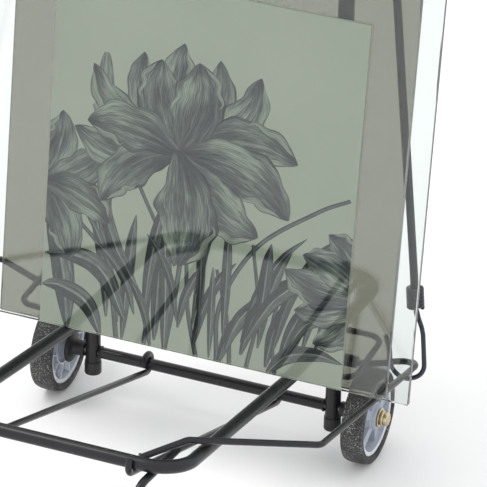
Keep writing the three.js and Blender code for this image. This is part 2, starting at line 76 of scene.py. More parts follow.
# The same values as in the CAD's source.
UPRIGHT_LEAN = math.radians(3.2)
ARM_PITCH = math.radians(13.5)
STACK_LEAN = math.radians(10.3)
UPRIGHT_AXIS = Vector((0, math.sin(UPRIGHT_LEAN), math.cos(UPRIGHT_LEAN)))
ARM_AXIS = Vector((0, -math.cos(ARM_PITCH), math.sin(ARM_PITCH)))
PIVOT_AT = 60
ARM_LENGTH = 373
UPRIGHT_BOTTOM = -17
UPRIGHT_TOP = 775
ARM_RADIUS = 6.65
WIRE_RADIUS = 3.25
STAND_RADIUS = 4
LOOP_RADIUS = 3
CORD_RADIUS = 4
HOOK_WIRE_RADIUS = 2.4
HOOK_BEND = 17.5
UPRIGHT_RADIUS = 8
SIDES = (("left", -1), ("right", 1))


def on_upright(x, distance):
    return Vector((x, 0, 0)) + UPRIGHT_AXIS * distance


def on_arm(x, distance):
    return on_upright(x, PIVOT_AT) + ARM_AXIS * distance


CROSSBAR = on_arm(0, ARM_LENGTH)

# ---- mesh helpers --------------------------------------------------------------------------------


def face_outward(mesh):
    """Turns every face of a closed mesh outward."""
    work = bmesh.new()
    work.from_mesh(mesh)
    bmesh.ops.recalc_face_normals(work, faces=work.faces)
    work.to_mesh(mesh)
    work.free()


def make_piece(name, points, faces, material, body, nodes=(), sharp=35, uvs=None, slot=None):
    """A mesh piece from points in axle millimetres. uvs, if given, holds one pair for each point."""
    mesh = bpy.data.meshes.new(name)
    mesh.from_pydata([(AXLE + Vector(p)) * MM for p in points], [], faces)
    face_outward(mesh)
    if uvs:
        layer = mesh.uv_layers.new(name="UVMap")
        for loop in mesh.loops:
            layer.data[loop.index].uv = uvs[loop.vertex_index]
    mesh.polygons.foreach_set("use_smooth", [True] * len(mesh.polygons))
    mesh.set_sharp_from_angle(angle=math.radians(sharp))
    mesh.validate()
    piece = bpy.data.objects.new(name, mesh)
    bpy.context.scene.collection.objects.link(piece)
    mesh.materials.append(material)
    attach(piece, body)
    for node in nodes:
        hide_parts(node)
    return piece


def bend_stations(corners, radius, steps):
    """Points and headings along straight runs joined by arcs of one radius, as in the frame's rods."""
    points = [Vector(c) for c in corners]
    headings = [(b - a).normalized() for a, b in zip(points, points[1:])]
    stations = [(points[0], headings[0])]
    for corner, arriving, leaving in zip(points[1:-1], headings, headings[1:]):
        angle = arriving.angle(leaving)
        if angle < 1e-4:
            continue
        reach = radius * math.tan(angle / 2)
        start = corner - arriving * reach
        inward = (leaving - arriving * math.cos(angle)).normalized()
        for k in range(steps + 1):
            turned = angle * k / steps
            forward, sideways = radius * math.sin(turned), radius * (1 - math.cos(turned))
            place = start + arriving * forward + inward * sideways
            tangent = arriving * math.cos(turned) + inward * math.sin(turned)
            if (place - stations[-1][0]).length > 0.01:
                stations.append((place, tangent))
    stations.append((points[-1], headings[-1]))
    return stations


def spread_out(stations, longest):
    """The same stations with more put in wherever two are further apart than the longest step."""
    result = [stations[0]]
    for (a, ta), (b, tb) in zip(stations, stations[1:]):
        count = max(1, math.ceil((b - a).length / longest))
        for k in range(1, count + 1):
            share = k / count
            result.append((a.lerp(b, share), ta.lerp(tb, share).normalized()))
    return result


def ring_faces(levels, count):
    """The walls between stacked rings of points, with a face across the first ring and the last."""
    faces = []
    for level in range(levels - 1):
        for k in range(count):
            a, b = level * count + k, level * count + (k + 1) % count
            faces.append((a, b, b + count, a + count))
    faces.append(tuple(reversed(range(count))))
    faces.append(tuple(range((levels - 1) * count, levels * count)))
    return faces


def sweep(stations, radius, sides=20, dome=0.6):
    """A closed round bar along the stations, with softly domed ends. Its uvs are in millimetres."""
    path = list(stations)
    if dome > 0:
        first, last = path[0], path[-1]
        path.insert(0, (first[0] - first[1] * dome, first[1]))
        path.append((last[0] + last[1] * dome, last[1]))
    points, uvs = [], []
    normal = path[0][1].orthogonal().normalized()
    travelled = 0.0
    for i, (place, tangent) in enumerate(path):
        if i:
            travelled += (place - path[i - 1][0]).length
            normal = path[i - 1][1].rotation_difference(tangent) @ normal
        across = tangent.cross(normal).normalized()
        is_end = dome > 0 and i in (0, len(path) - 1)
        size = radius - dome if is_end else radius
        for k in range(sides):
            angle = 2 * math.pi * k / sides
            points.append(place + normal * (size * math.cos(angle)) + across * (size * math.sin(angle)))
            uvs.append((travelled * MM, k / sides * 2 * math.pi * radius * MM))
    return points, ring_faces(len(path), sides), uvs


def rounded(profile, steps=3, size=0.8):
    """A closed profile whose corners are softened by short arcs."""
    result = []
    count = len(profile)
    for i, (r, h) in enumerate(profile):
        here = Vector((r, h))
        before = Vector(profile[i - 1]) - here
        after = Vector(profile[(i + 1) % count]) - here
        reach = min(size, before.length * 0.4, after.length * 0.4)
        start, end = here + before.normalized() * reach, here + after.normalized() * reach
        for k in range(steps + 1):
            t = k / steps
            bent = start * (1 - t) ** 2 + here * (2 * t * (1 - t)) + end * t ** 2
            result.append((bent.x, bent.y))
    return result


def lathe(profile, place, sides=64):
    """A ring or disc from a closed profile of (radius, height) pairs, put in place by a 4x4 matrix.
    Points at radius 0 are joined into one on the axis."""
    points, faces, rings = [], [], []
    for radius, height in profile:
        if radius < 1e-4:
            rings.append([len(points)] * sides)
            points.append(place @ Vector((0, 0, height)))
            continue
        rings.append(list(range(len(points), len(points) + sides)))
        for k in range(sides):
            angle = 2 * math.pi * k / sides
            points.append(place @ Vector((radius * math.cos(angle), radius * math.sin(angle), height)))
    closes = profile[0][0] > 1e-4
    pairs = list(zip(rings, rings[1:])) + ([(rings[-1], rings[0])] if closes else [])
    for lower, upper in pairs:
        for k in range(sides):
            j = (k + 1) % sides
            corners = [lower[k], lower[j], upper[j], upper[k]]
            unique = list(dict.fromkeys(corners))
            if len(unique) > 2:
                faces.append(tuple(unique))
    return points, faces


def merged(*shapes):
    """Several (points, faces) shapes as one."""
    points, faces = [], []
    for some_points, some_faces in shapes:
        start = len(points)
        points.extend(some_points)
        faces.extend(tuple(start + i for i in face) for face in some_faces)
    return points, faces


def slab(width, depth, height, place, edge=1.0, steps=3):
    """A plate with rounded upright corners and softened edges, standing on its own origin."""
    outline = []
    corner = min(edge, width / 2 - 0.01, height / 2 - 0.01)
    for cx, cz, start in ((1, 1, 0), (-1, 1, 90), (-1, -1, 180), (1, -1, 270)):
        for k in range(steps + 1):
            angle = math.radians(start + 90 * k / steps)
            x = cx * (width / 2 - corner) + corner * math.cos(angle)
            z = cz * (height / 2 - corner) + corner * math.sin(angle) + height / 2
            outline.append((x, z))
    soft = min(0.5, depth / 5)
    levels = [(-depth / 2, soft), (-depth / 2 + soft, 0), (depth / 2 - soft, 0), (depth / 2, soft)]
    points = []
    for y, inset in levels:
        for x, z in outline:
            sx = (width / 2 - inset) / (width / 2)
            sz = (height / 2 - inset) / (height / 2)
            points.append(place @ Vector((x * sx, y, height / 2 + (z - height / 2) * sz)))
    return points, ring_faces(len(levels), len(outline))


def axle_place(sign, x=0, at=Vector((0, 0, 0))):
    """Z runs outward along the axle."""
    return Matrix.Translation(at + Vector((sign * x, 0, 0))) @ Matrix.Rotation(sign * math.pi / 2, 4, "Y")


def upright_place(x, distance):
    return Matrix.Translation(on_upright(x, distance)) @ Matrix.Rotation(-UPRIGHT_LEAN, 4, "X")


def turned_piece(node, profile, place, sides, material, body="root", sharp=35):
    """A lathed piece that stands for the CAD node of the same name."""
    points, faces = lathe(profile, place, sides)
    return make_piece(node, points, faces, material, body, [node], sharp=sharp)


# ---- material helpers ----------------------------------------------------------------------------


class Finish:
    """A node material around one Principled shader, with short ways to add what every finish needs."""

    def __init__(self, name, color, roughness, metallic=0.0, **sockets):
        self.material = bpy.data.materials.new(name)
        self.material.use_nodes = True
        self.tree = self.material.node_tree
        self.shader = self.tree.nodes["Principled BSDF"]
        self.shader.inputs["Base Color"].default_value = (*color, 1)
        self.shader.inputs["Roughness"].default_value = roughness
        self.shader.inputs["Metallic"].default_value = metallic
        for socket, value in sockets.items():
            self.shader.inputs[socket.replace("_", " ")].default_value = value
        self.place = self.tree.nodes.new("ShaderNodeTexCoord")

    def node(self, kind, **settings):
        made = self.tree.nodes.new(kind)
        for key, value in settings.items():
            setattr(made, key, value)
        return made

    def link(self, output, socket):
        self.tree.links.new(output, socket)

    def noise(self, scale, detail=3.0, stretch=None, source="Object"):
        texture = self.node("ShaderNodeTexNoise")
        texture.inputs["Scale"].default_value = scale
        texture.inputs["Detail"].default_value = detail
        output = self.place.outputs[source]
        if stretch:
            mapping = self.node("ShaderNodeMapping")
            mapping.inputs["Scale"].default_value = stretch
            self.link(output, mapping.inputs["Vector"])
            output = mapping.outputs["Vector"]
        self.link(output, texture.inputs["Vector"])
        return texture.outputs["Fac"]

    def ramp(self, source, stops):
        made = self.node("ShaderNodeValToRGB")
        elements = made.color_ramp.elements
        while len(elements) < len(stops):
            elements.new(0.5)
        for element, (position, color) in zip(elements, stops):
            element.position = position
            element.color = (*color, 1)
        self.link(source, made.inputs["Fac"])
        return made.outputs["Color"]

    def spread(self, source, low, high, from_low=0.3, from_high=0.7):
        made = self.node("ShaderNodeMapRange")
        limits = {"From Min": from_low, "From Max": from_high, "To Min": low, "To Max": high}
        for key, value in limits.items():
            made.inputs[key].default_value = value
        self.link(source, made.inputs["Value"])
        return made.outputs["Result"]

    def math(self, operation, a, b=None):
        made = self.node("ShaderNodeMath", operation=operation)
        for socket, value in zip(made.inputs, (a, b)):
            if value is None:
                continue
            if isinstance(value, (int, float)):
                socket.default_value = value
            else:
                self.link(value, socket)
        return made.outputs["Value"]

    def mix(self, factor, a, b_color):
        """From output a to a plain colour, by the factor's output. The inputs are the node's colour ones."""
        made = self.node("ShaderNodeMix", data_type="RGBA")
        factor_input, a_input, b_input = 0, 6, 7
        color_output = 2
        self.link(factor, made.inputs[factor_input])
        self.link(a, made.inputs[a_input])
        made.inputs[b_input].default_value = (*b_color, 1)
        return made.outputs[color_output]

    def color(self, output):
        self.link(output, self.shader.inputs["Base Color"])

    def rough(self, output):
        self.link(output, self.shader.inputs["Roughness"])

    def bump(self, height, strength, distance):
        made = self.node("ShaderNodeBump")
        made.inputs["Strength"].default_value = strength
        made.inputs["Distance"].default_value = distance
        self.link(height, made.inputs["Height"])
        self.link(made.outputs["Normal"], self.shader.inputs["Normal"])


def powder_coat():
    finish = Finish("black_powder_coat", (0.008, 0.008, 0.010), 0.3, Coat_Weight=0.12, Coat_Roughness=0.1,
                    Specular_IOR_Level=0.3)
    finish.color(finish.ramp(finish.noise(45, 5), [
        (0.3, (0.010, 0.0102, 0.012)), (0.75, (0.016, 0.016, 0.018))]))
    finish.rough(finish.spread(finish.noise(120, 4), 0.27, 0.34))
    finish.bump(finish.noise(1400, 2), 0.12, 0.0003)
    return finish.material


def moulded_plastic(name, dark, light, roughness=0.5, grain=1600):
    finish = Finish(name, dark, roughness)
    finish.color(finish.ramp(finish.noise(60, 5), [(0.3, dark), (0.75, light)]))
    finish.rough(finish.spread(finish.noise(150, 3), roughness - 0.07, roughness + 0.08))
    finish.bump(finish.noise(grain, 2), 0.15, 0.0002)
    return finish.material


def bare_metal(name, dark, light, roughness, brushed):
    finish = Finish(name, dark, roughness, 1.0)
    streaks = finish.noise(90, 4, brushed)
    finish.color(finish.ramp(streaks, [(0.3, dark), (0.7, light)]))
    finish.rough(finish.spread(streaks, roughness - 0.08, roughness + 0.1))
    finish.bump(streaks, 0.08, 0.0002)
    return finish.material


def dusty_rubber():
    finish = Finish("tyre_rubber", (0.03, 0.03, 0.032), 0.8)
    base = finish.ramp(finish.noise(35, 5), [(0.3, (0.020, 0.020, 0.022)), (0.75, (0.042, 0.041, 0.040))])
    specks = finish.spread(finish.noise(760, 2), 0, 1, 0.565, 0.64)
    patches = finish.spread(finish.noise(34, 4), 0.08, 1.0, 0.40, 0.60)
    dust = finish.math("MULTIPLY", specks, patches)
    finish.color(finish.mix(dust, base, (0.34, 0.33, 0.31)))
    finish.rough(finish.spread(finish.noise(200, 3), 0.62, 0.88))
    finish.bump(finish.noise(700, 4), 0.35, 0.0004)
    return finish.material


def soft_rubber(name):
    finish = Finish(name, (0.018, 0.018, 0.02), 0.8)
    finish.color(finish.ramp(finish.noise(70, 4), [
        (0.3, (0.012, 0.012, 0.013)), (0.75, (0.028, 0.028, 0.03))]))
    finish.rough(finish.spread(finish.noise(180, 3), 0.7, 0.92))
    finish.bump(finish.noise(1200, 3), 0.3, 0.0003)
    return finish.material


def woven_cord():
    """Two sets of slanting yarns from the piece's own length and girth coordinates. The colour follows their
    relief: painted shade in the gaps between the yarns and a painted highlight on their crests.
    """
    finish = Finish("cord_braid", (0.014, 0.017, 0.02), 0.75, Sheen_Weight=0.08, Specular_IOR_Level=0.3)
    split = finish.node("ShaderNodeSeparateXYZ")
    finish.link(finish.place.outputs["UV"], split.inputs["Vector"])
    girth = 2 * math.pi * CORD_RADIUS * MM
    along = finish.math("MULTIPLY", split.outputs["X"], 2 * math.pi * 260)
    around = finish.math("MULTIPLY", split.outputs["Y"], 2 * math.pi * 6 / girth)
    one_way = finish.math("SINE", finish.math("ADD", along, around))
    other_way = finish.math("SINE", finish.math("SUBTRACT", along, around))
    weave = finish.math("MAXIMUM", one_way, other_way)
    # Painted shade in the gaps between the yarns and painted highlight on their crests, from the same weave
    # as the bump.
    finish.color(finish.ramp(finish.spread(weave, 0, 1, -0.6, 1), [
        (0.1, (0.004, 0.005, 0.006)), (0.6, (0.014, 0.017, 0.020)), (1.0, (0.032, 0.038, 0.044))]))
    finish.rough(finish.spread(finish.noise(900, 2), 0.65, 0.85))
    finish.bump(weave, 0.6, 0.0004)
    return finish.material


def glass(name, tint, body_color, density, smear):
    finish = Finish(name, tint, 0.0, Transmission_Weight=1.0, IOR=1.5)
    finish.rough(finish.spread(finish.noise(5, 3), 0.0, smear, 0.45, 0.8))
    volume = finish.node("ShaderNodeVolumeAbsorption")
    volume.inputs["Color"].default_value = (*body_color, 1)
    volume.inputs["Density"].default_value = density
    output = finish.tree.nodes["Material Output"]
    finish.link(volume.outputs["Volume"], output.inputs["Volume"])
    return finish.material


def printed_ground():
    finish = Finish("print_ground", (0.71, 0.72, 0.58), 0.35)
    broad = finish.ramp(finish.noise(7, 3), [(0.3, (0.69, 0.71, 0.565)), (0.7, (0.74, 0.75, 0.605))])
    grain = finish.spread(finish.noise(1800, 2), 0.94, 1.05)
    scaled = finish.node("ShaderNodeVectorMath", operation="SCALE")
    finish.link(broad, scaled.inputs["Vector"])
    finish.link(grain, scaled.inputs["Scale"])
    finish.color(scaled.outputs["Vector"])
    return finish.material


def drawing_ink():
    """Pencil-like shading. U runs along each petal or leaf and V across it; a colour layer holds its tone."""
    finish = Finish("drawing_ink", (0.05, 0.052, 0.06), 0.4, Specular_IOR_Level=0.35)
    tone = finish.node("ShaderNodeVertexColor", layer_name="Tone")
    split = finish.node("ShaderNodeSeparateColor")
    finish.link(tone.outputs["Color"], split.inputs["Color"])
    fine = finish.noise(5, 4, (0.42, 9.5, 1), "UV")
    coarse = finish.noise(3, 2, (0.35, 2.6, 1), "UV")
    strokes = finish.math("ADD", finish.math("MULTIPLY", fine, 0.62), finish.math("MULTIPLY", coarse, 0.38))
    contrast = finish.math("MULTIPLY", finish.math("SUBTRACT", strokes, 0.5), 2.3)
    shade = finish.math("ADD", split.outputs["Red"], contrast)
    finish.color(finish.ramp(shade, [
        (0.0, (0.60, 0.63, 0.50)), (0.18, (0.37, 0.40, 0.33)), (0.40, (0.165, 0.175, 0.17)),
        (0.68, (0.058, 0.060, 0.070)), (1.0, (0.018, 0.017, 0.026))]))
    return finish.material


STEEL = powder_coat()
BLACK_PLASTIC = moulded_plastic("black_plastic", (0.008, 0.008, 0.009), (0.016, 0.016, 0.017), 0.5)
HUB_PLASTIC = moulded_plastic("hub_plastic", (0.30, 0.335, 0.395), (0.40, 0.435, 0.50), 0.36)
# A lighter copy of the hub plastic: painted highlight on the rim's lips, the ring round the boss and the
# ribs.
HUB_HIGHLIGHT_PLASTIC = moulded_plastic("hub_painted_highlight", (0.62, 0.64, 0.68), (0.74, 0.76, 0.79), 0.28)
NYLON = moulded_plastic("bush_nylon", (0.55, 0.55, 0.52), (0.65, 0.65, 0.62), 0.5)
BUTTON_PLASTIC = moulded_plastic("button_plastic", (0.22, 0.24, 0.27), (0.3, 0.32, 0.35), 0.35)
BRIGHT_STEEL = bare_metal("bright_steel", (0.42, 0.43, 0.45), (0.60, 0.61, 0.63), 0.28, (1, 1, 0.02))
AXLE_STEEL = bare_metal("axle_steel", (0.42, 0.43, 0.45), (0.60, 0.61, 0.63), 0.28, (0.02, 1, 1))
BRASS = bare_metal("brass_plating", (0.52, 0.42, 0.26), (0.72, 0.62, 0.42), 0.32, (0.1, 1, 1))
TYRE_RUBBER = dusty_rubber()
FOOT_RUBBER = soft_rubber("foot_rubber")
GRIP_RUBBER = soft_rubber("grip_rubber")
HOOK_STEEL = moulded_plastic("hook_dip", (0.006, 0.009, 0.022), (0.012, 0.016, 0.034), 0.2)
BRAID = woven_cord()
CLEAR_GLASS = glass("clear_glass", (0.81, 0.825, 0.82), (0.76, 0.90, 0.87), 42.0, 0.012)
TINTED_GLASS = glass("tinted_glass", (0.27, 0.262, 0.215), (0.6, 0.62, 0.5), 18.0, 0.012)
PRINT_GROUND = printed_ground()
INK = drawing_ink()

# ---- frame tubes and wires -----------------------------------------------------------------------


def steel_rod(name, corners, radius, bend, steps=10, sides=24):
    stations = spread_out(bend_stations(corners, bend, steps), 40)
    points, faces, uvs = sweep(stations, radius, sides)
    make_piece(name, points, faces, STEEL, "root", [name], uvs=uvs)


def weld_bead(name, centre, axis, radius, size=1.1):
    """A slightly uneven ring of weld where two bars meet."""
    rng = random.Random(name)
    turn = axis.to_track_quat("Z", "Y").to_matrix().to_4x4()
    place = Matrix.Translation(centre) @ turn
    segments, sides = 40, 8
    points, faces = [], []
    for i in range(segments):
        angle = 2 * math.pi * i / segments
        swell = size * (0.85 + 0.3 * rng.random())
        for k in range(sides):
            around = 2 * math.pi * k / sides
            reach = radius + swell * math.cos(around) * 0.8
            x, y = reach * math.cos(angle), reach * math.sin(angle)
            points.append(place @ Vector((x, y, swell * math.sin(around))))
    for i in range(segments):
        for k in range(sides):
            a, b = i * sides + k, i * sides + (k + 1) % sides
            c, d = (i + 1) % segments * sides + (k + 1) % sides, (i + 1) % segments * sides + k
            faces.append((a, d, c, b))
    return points, faces


def make_uprights():
    low, high = UPRIGHT_BOTTOM, UPRIGHT_TOP
    for side, sign in SIDES:
        x = sign * UPRIGHT_X
        place = upright_place(x, 0)
        profile = [(6.7, low), (7.6, low), (8, low + 0.5), (8, high - 0.5), (7.6, high), (6.7, high)]
        turned_piece(f"{side}_upright", profile, place, 40, STEEL)

        foot = low - 8.5
        cap = [(0, foot), (7.6, foot), (8.5, foot + 0.5), (8.9, foot + 1.4), (8.75, low + 5), (8.6, low + 6),
               (8.3, low + 6), (8.3, low - 0.3), (0, low - 0.3)]
        turned_piece(f"{side}_upright_cap", cap, place, 48, BLACK_PLASTIC)

        grooves = []
        for groove in range(4):
            at = high - 5 + groove * 4.5
            grooves += [(12, at - 0.8), (11.3, at - 0.3), (11.3, at + 0.3), (12, at + 0.8)]
        collar = [(8.3, high - 10), (11, high - 10), (12, high - 9), *grooves, (12, high + 13.3),
                  (10.6, high + 15), (6.7, high + 15), (6.7, high + 0.3), (8.3, high + 0.3)]
        turned_piece(f"{side}_collar", collar, place, 48, BLACK_PLASTIC)


def make_cross_tubes():
    half = UPRIGHT_X - UPRIGHT_RADIUS - 0.3
    for name, distance, bore in (("axle_tube", 0, 4.3), ("top_cross_tube", 700, 4)):
        place = Matrix.Translation(on_upright(0, distance)) @ Matrix.Rotation(math.pi / 2, 4, "Y")
        profile = [(bore, -half), (5.7, -half), (6, -half + 0.4), (6, half - 0.4), (5.7, half), (bore, half)]
        tube = lathe(profile, place, 40)
        beads = [weld_bead(f"{name}{sign}", on_upright(sign * (half - 0.8), distance), Vector((1, 0, 0)), 6.3)
                 for _, sign in SIDES]
        points, faces = merged(tube, *beads)
        make_piece(name, points, faces, STEEL, "root", [name])
    profile = [(0, -AXLE_END), (3.4, -AXLE_END), (4, -AXLE_END + 0.6),
               (4, AXLE_END - 0.6), (3.4, AXLE_END), (0, AXLE_END)]
    turned_piece("axle_rod", profile, Matrix.Rotation(math.pi / 2, 4, "Y"), 32, AXLE_STEEL)


ARM_REAR_X = 117.8
ARM_FRONT_X = 121.5
SLEEVE_START = UPRIGHT_X + UPRIGHT_RADIUS + 0.3
SLEEVE_END = UPRIGHT_X + UPRIGHT_RADIUS + 18
BOLT_END = UPRIGHT_X + UPRIGHT_RADIUS + 6


def arm_top(y):
    pivot = on_arm(0, 0)
    return pivot.z + (pivot.y - y) * math.tan(ARM_PITCH) + ARM_RADIUS / math.cos(ARM_PITCH)


def make_platform():
    behind = -10.4
    corners = [on_arm(-ARM_REAR_X, behind), on_arm(-ARM_FRONT_X, ARM_LENGTH),
               on_arm(ARM_FRONT_X, ARM_LENGTH), on_arm(ARM_REAR_X, behind)]
    steel_rod("platform_tube", corners, ARM_RADIUS, 35, 16, 32)
    for side, sign in SIDES:
        place = axle_place(sign, 0, on_upright(0, PIVOT_AT))
        head = ARM_REAR_X - ARM_RADIUS - 0.3
        bolt = [(0, head - 5), (2.2, head - 4.9), (4.2, head - 4.3), (5.5, head - 3.0), (6, head - 1.6),
                (6, head), (3, head), (3, BOLT_END), (0, BOLT_END)]
        turned_piece(f"{side}_arm_bolt", bolt, place, 40, BRIGHT_STEEL)
        sleeve = [(3.55, SLEEVE_START), (6.2, SLEEVE_START), (6.2, SLEEVE_END), (3.55, SLEEVE_END)]
        profile = rounded(sleeve, 4, 0.9)
        turned_piece(f"{side}_wing_sleeve", profile, place, 40, BLACK_PLASTIC)


WING_RUN = {
    "left": ((-262, 44, 62), (-266, -212, 106.4)),
    "right": ((218.9, 28, 62.2), (203.8, -212, 106.4)),
}


def make_wings():
    pivot = on_upright(0, PIVOT_AT)
    for side, sign in SIDES:
        rear, front = WING_RUN[side]
        end = (sign * 79.5, CROSSBAR.y + ARM_RADIUS + 2.4, CROSSBAR.z)
        corners = [(sign * (BOLT_END + 0.5), pivot.y, pivot.z), (sign * (SLEEVE_END + 8), pivot.y, pivot.z),
                   rear, front, (sign * 110.5, -312, 150.5), end]
        steel_rod(f"{side}_wing_wire", corners, WIRE_RADIUS, 15)
        heading = (Vector(corners[-1]) - Vector(corners[-2])).normalized()
        bead = weld_bead(f"{side}_wing_bead", Vector(end) - heading * 0.4, heading, WIRE_RADIUS + 0.3)
        make_piece(f"{side}_wing_bead", *bead, STEEL, "root", slot="black_steel")


def make_stays():
    ring = 6 + WIRE_RADIUS + 0.6
    hook = ARM_RADIUS + WIRE_RADIUS + 0.4
    to_bar = Vector((CROSSBAR.y, CROSSBAR.z))
    swing = math.asin((hook - ring) / to_bar.length)
    ahead = Matrix.Rotation(swing, 2) @ to_bar.normalized()
    rise = Vector((ahead.y, -ahead.x))
    reach = to_bar.dot(ahead)
    for side, sign in SIDES:
        def place(along, up):
            flat = ahead * along + rise * up
            return Vector((sign * (72.2 + 3.5 * along / reach), flat.x, flat.y))
        corners = [place(ring, -1.2), place(ring, ring), place(-ring, ring), place(-ring, -ring),
                   place(reach + hook, -ring), place(reach + hook, 4 + hook - ring)]
        steel_rod(f"{side}_stay", corners, WIRE_RADIUS, ring - 0.001, 12)


def make_rear_loop():
    half_width, front = 181, -65
    z = arm_top(front) + LOOP_RADIUS + 0.6
    rear = z * UPRIGHT_AXIS.y + UPRIGHT_RADIUS + LOOP_RADIUS + 0.5
    corners = [(0.7, rear, z), (half_width, rear, z), (half_width, front, z),
               (-half_width, front, z), (-half_width, rear, z), (-0.7, rear, z)]
    steel_rod("rear_loop", corners, LOOP_RADIUS, 14)
    points, faces = weld_bead("loop_seam", Vector((0, rear, z)), Vector((1, 0, 0)), LOOP_RADIUS - 0.1, 1.0)
    make_piece("loop_seam_weld", points, faces, STEEL, "root", slot="black_steel")


def make_stand():
    under = CROSSBAR.z - ARM_RADIUS - STAND_RADIUS - 1.2
    foot_y, bar_z = -393, FLOOR + 9
    half = [(99.5, -312, under + 1.8), (88.5, foot_y + 6, under), (88, foot_y, bar_z)]
    mirrored = [(-x, y, z) for x, y, z in reversed(half)]
    steel_rod("front_stand", half + mirrored, STAND_RADIUS, 22, 12)
    for side, _ in SIDES:
        low, high = box_mm(f"{side}_foot")
        size = high - low
        centre = (low + high) / 2 - AXLE
        points, faces = foot_shape(size, Matrix.Translation((centre.x, centre.y, FLOOR)))
        make_piece(f"{side}_foot", points, faces, FOOT_RUBBER, "root", [f"{side}_foot"])


def foot_shape(size, place):
    """A stretched round-cornered block, narrower at its top, with a ribbed sole."""
    rings = [(0.94, 0), (1.0, 1.2), (1.0, 3.0), (0.95, 3.6), (1.0, 4.2), (1.0, 6.0), (0.95, 6.6), (0.98, 7.2),
             (0.97, size.z - 2), (0.86, size.z)]
    points = []
    count = 32
    squareness = 0.45
    for share, z in rings:
        for k in range(count):
            angle = 2 * math.pi * k / count
            c, s = math.cos(angle), math.sin(angle)
            x = math.copysign(abs(c) ** squareness, c) * size.x / 2 * share
            y = math.copysign(abs(s) ** squareness, s) * size.y / 2 * share
            points.append(place @ Vector((x, y, z)))
    return points, ring_faces(len(rings), count)


# ---- wheels --------------------------------------------------------------------------------------
HUB_RADIUS = 40.7
TYRE_SEAT = 41
RIM_LIP_INNER = 36.4


def tyre_profile():
    half = WHEEL_WIDTH / 2
    crown = [(WHEEL_RADIUS - 2.6 * (1 - math.cos(t)), half * 0.92 * math.sin(t) / math.sin(1.1))
             for t in [(-1.1 + 2.2 * k / 16) for k in range(17)]]
    shoulder_low = [(TYRE_SEAT, -half + 2), (TYRE_SEAT + 1.2, -half + 0.3), (TYRE_SEAT + 3, -half),
                    (TYRE_SEAT + 3.6, -half + 0.5), (TYRE_SEAT + 4.2, -half + 0.1)]
    shoulder_high = [(r, -h) for r, h in reversed(shoulder_low)]
    return shoulder_low + crown + shoulder_high


def hub_shape(place):
    """Rim, thin web and boss in one turned shape: Z runs outward, so the open dished side is at plus."""
    half = WHEEL_WIDTH / 2
    bore = 7.3
    inner_face = [(bore, -half), (11.5, -half), (12.3, -half + 0.8), (13, -5), (15, -3.6), (19, -3.4),
                  (19.6, -6.4), (21, -6.4), (21.6, -3), (34.2, -3)]
    rim = [(RIM_LIP_INNER, -9.2), (37.2, -9.9), (HUB_RADIUS, -9.5),
           (HUB_RADIUS, 9.5), (39.6, 10), (37.4, 10), (RIM_LIP_INNER, 9.2)]
    outer_face = [(33.4, -1.4), (24, -2.2), (18, -1), (15.6, 4.5), (14.8, 7.6), (13.4, 8.2),
                  (12.6, half - 0.8), (11.8, half), (bore, half)]
    profile = inner_face + rim + outer_face
    return lathe(profile, place, 96)


def rib_shape(place, angle, start, end, low, heights, widths, curve):
    """A rib between the boss and the rim. heights and widths are its outer face at each end."""
    steps = 10
    points = []
    direction = math.copysign(1, heights[0] - low)
    for k in range(steps + 1):
        share = k / steps
        radius = start + (end - start) * share
        turn = angle + curve * math.sin(share * math.pi / 2)
        top = heights[0] + (heights[1] - heights[0]) * share
        wide = widths[0] + (widths[1] - widths[0]) * share - 0.8 * math.sin(math.pi * share)
        centre = Vector((radius * math.cos(turn), radius * math.sin(turn), 0))
        across = Vector((-math.sin(turn), math.cos(turn), 0)) * wide / 2
        for offset, z in ((-1.12, low), (1.12, low), (1, top - 0.5 * direction), (0.86, top), (-0.86, top),
                          (-1, top - 0.5 * direction)):
            points.append(place @ (centre + across * offset + Vector((0, 0, z))))
    return points, ring_faces(steps + 1, 6)


SPOKES = 5


def make_wheels():
    half = WHEEL_WIDTH / 2
    for side, sign in SIDES:
        body = f"wheel_{side}"
        place = axle_place(sign, WHEEL_X)
        turned_piece(f"{side}_tyre", tyre_profile(), place, 128, TYRE_RUBBER, body, sharp=50)
        points, faces = hub_shape(place)
        hub = make_piece(f"{side}_hub", points, faces, HUB_PLASTIC, body, [f"{side}_hub"])
        hub.data.materials.append(HUB_HIGHLIGHT_PLASTIC)
        paint_hub_highlights(hub, place)
        spokes = []
        for k in range(SPOKES):
            angle = 2 * math.pi * (k + 0.28) / SPOKES
            spokes.append(rib_shape(place, angle, 14.4, 37, -2.6, (7.4, 5.4), (9.5, 13.5), 0))
        points, faces = merged(*spokes)
        make_piece(f"{side}_hub_spokes", points, faces, HUB_PLASTIC, body, slot="hub_plastic")
        ribs = []
        for k in range(2 * SPOKES):
            angle = math.pi * (k + 0.4) / SPOKES
            ribs.append(rib_shape(place, angle, 20.6, 37, -2.6, (-6.2, -8.8), (1.9, 1.9), 0.24))
        points, faces = merged(*ribs)
        # The ribs take the lighter copy of the hub plastic, a painted highlight.
        make_piece(f"{side}_hub_ribs", points, faces, HUB_HIGHLIGHT_PLASTIC, body, slot="hub_plastic")
        bush = rounded([(4.3, -half - 0.2), (7, -half - 0.2), (7, half + 0.2), (4.3, half + 0.2)], 2, 0.4)
        turned_piece(f"{side}_bush", bush, place, 40, NYLON, body)


def paint_hub_highlights(hub, place):
    """A painted highlight, a lighter copy of the hub plastic, goes on the rim's lips and on the ring round
    the boss.
    """
    inverse = place.inverted()
    for face in hub.data.polygons:
        local = inverse @ (Vector(face.center) / MM - AXLE)
        radius = math.hypot(local.x, local.y)
        on_lip = RIM_LIP_INNER - 0.2 < radius < HUB_RADIUS - 0.3 and abs(local.z) > 9.1
        on_ring = 19.2 < radius < 21.4 and local.z < -6
        if on_lip or on_ring:
            face.material_index = 1


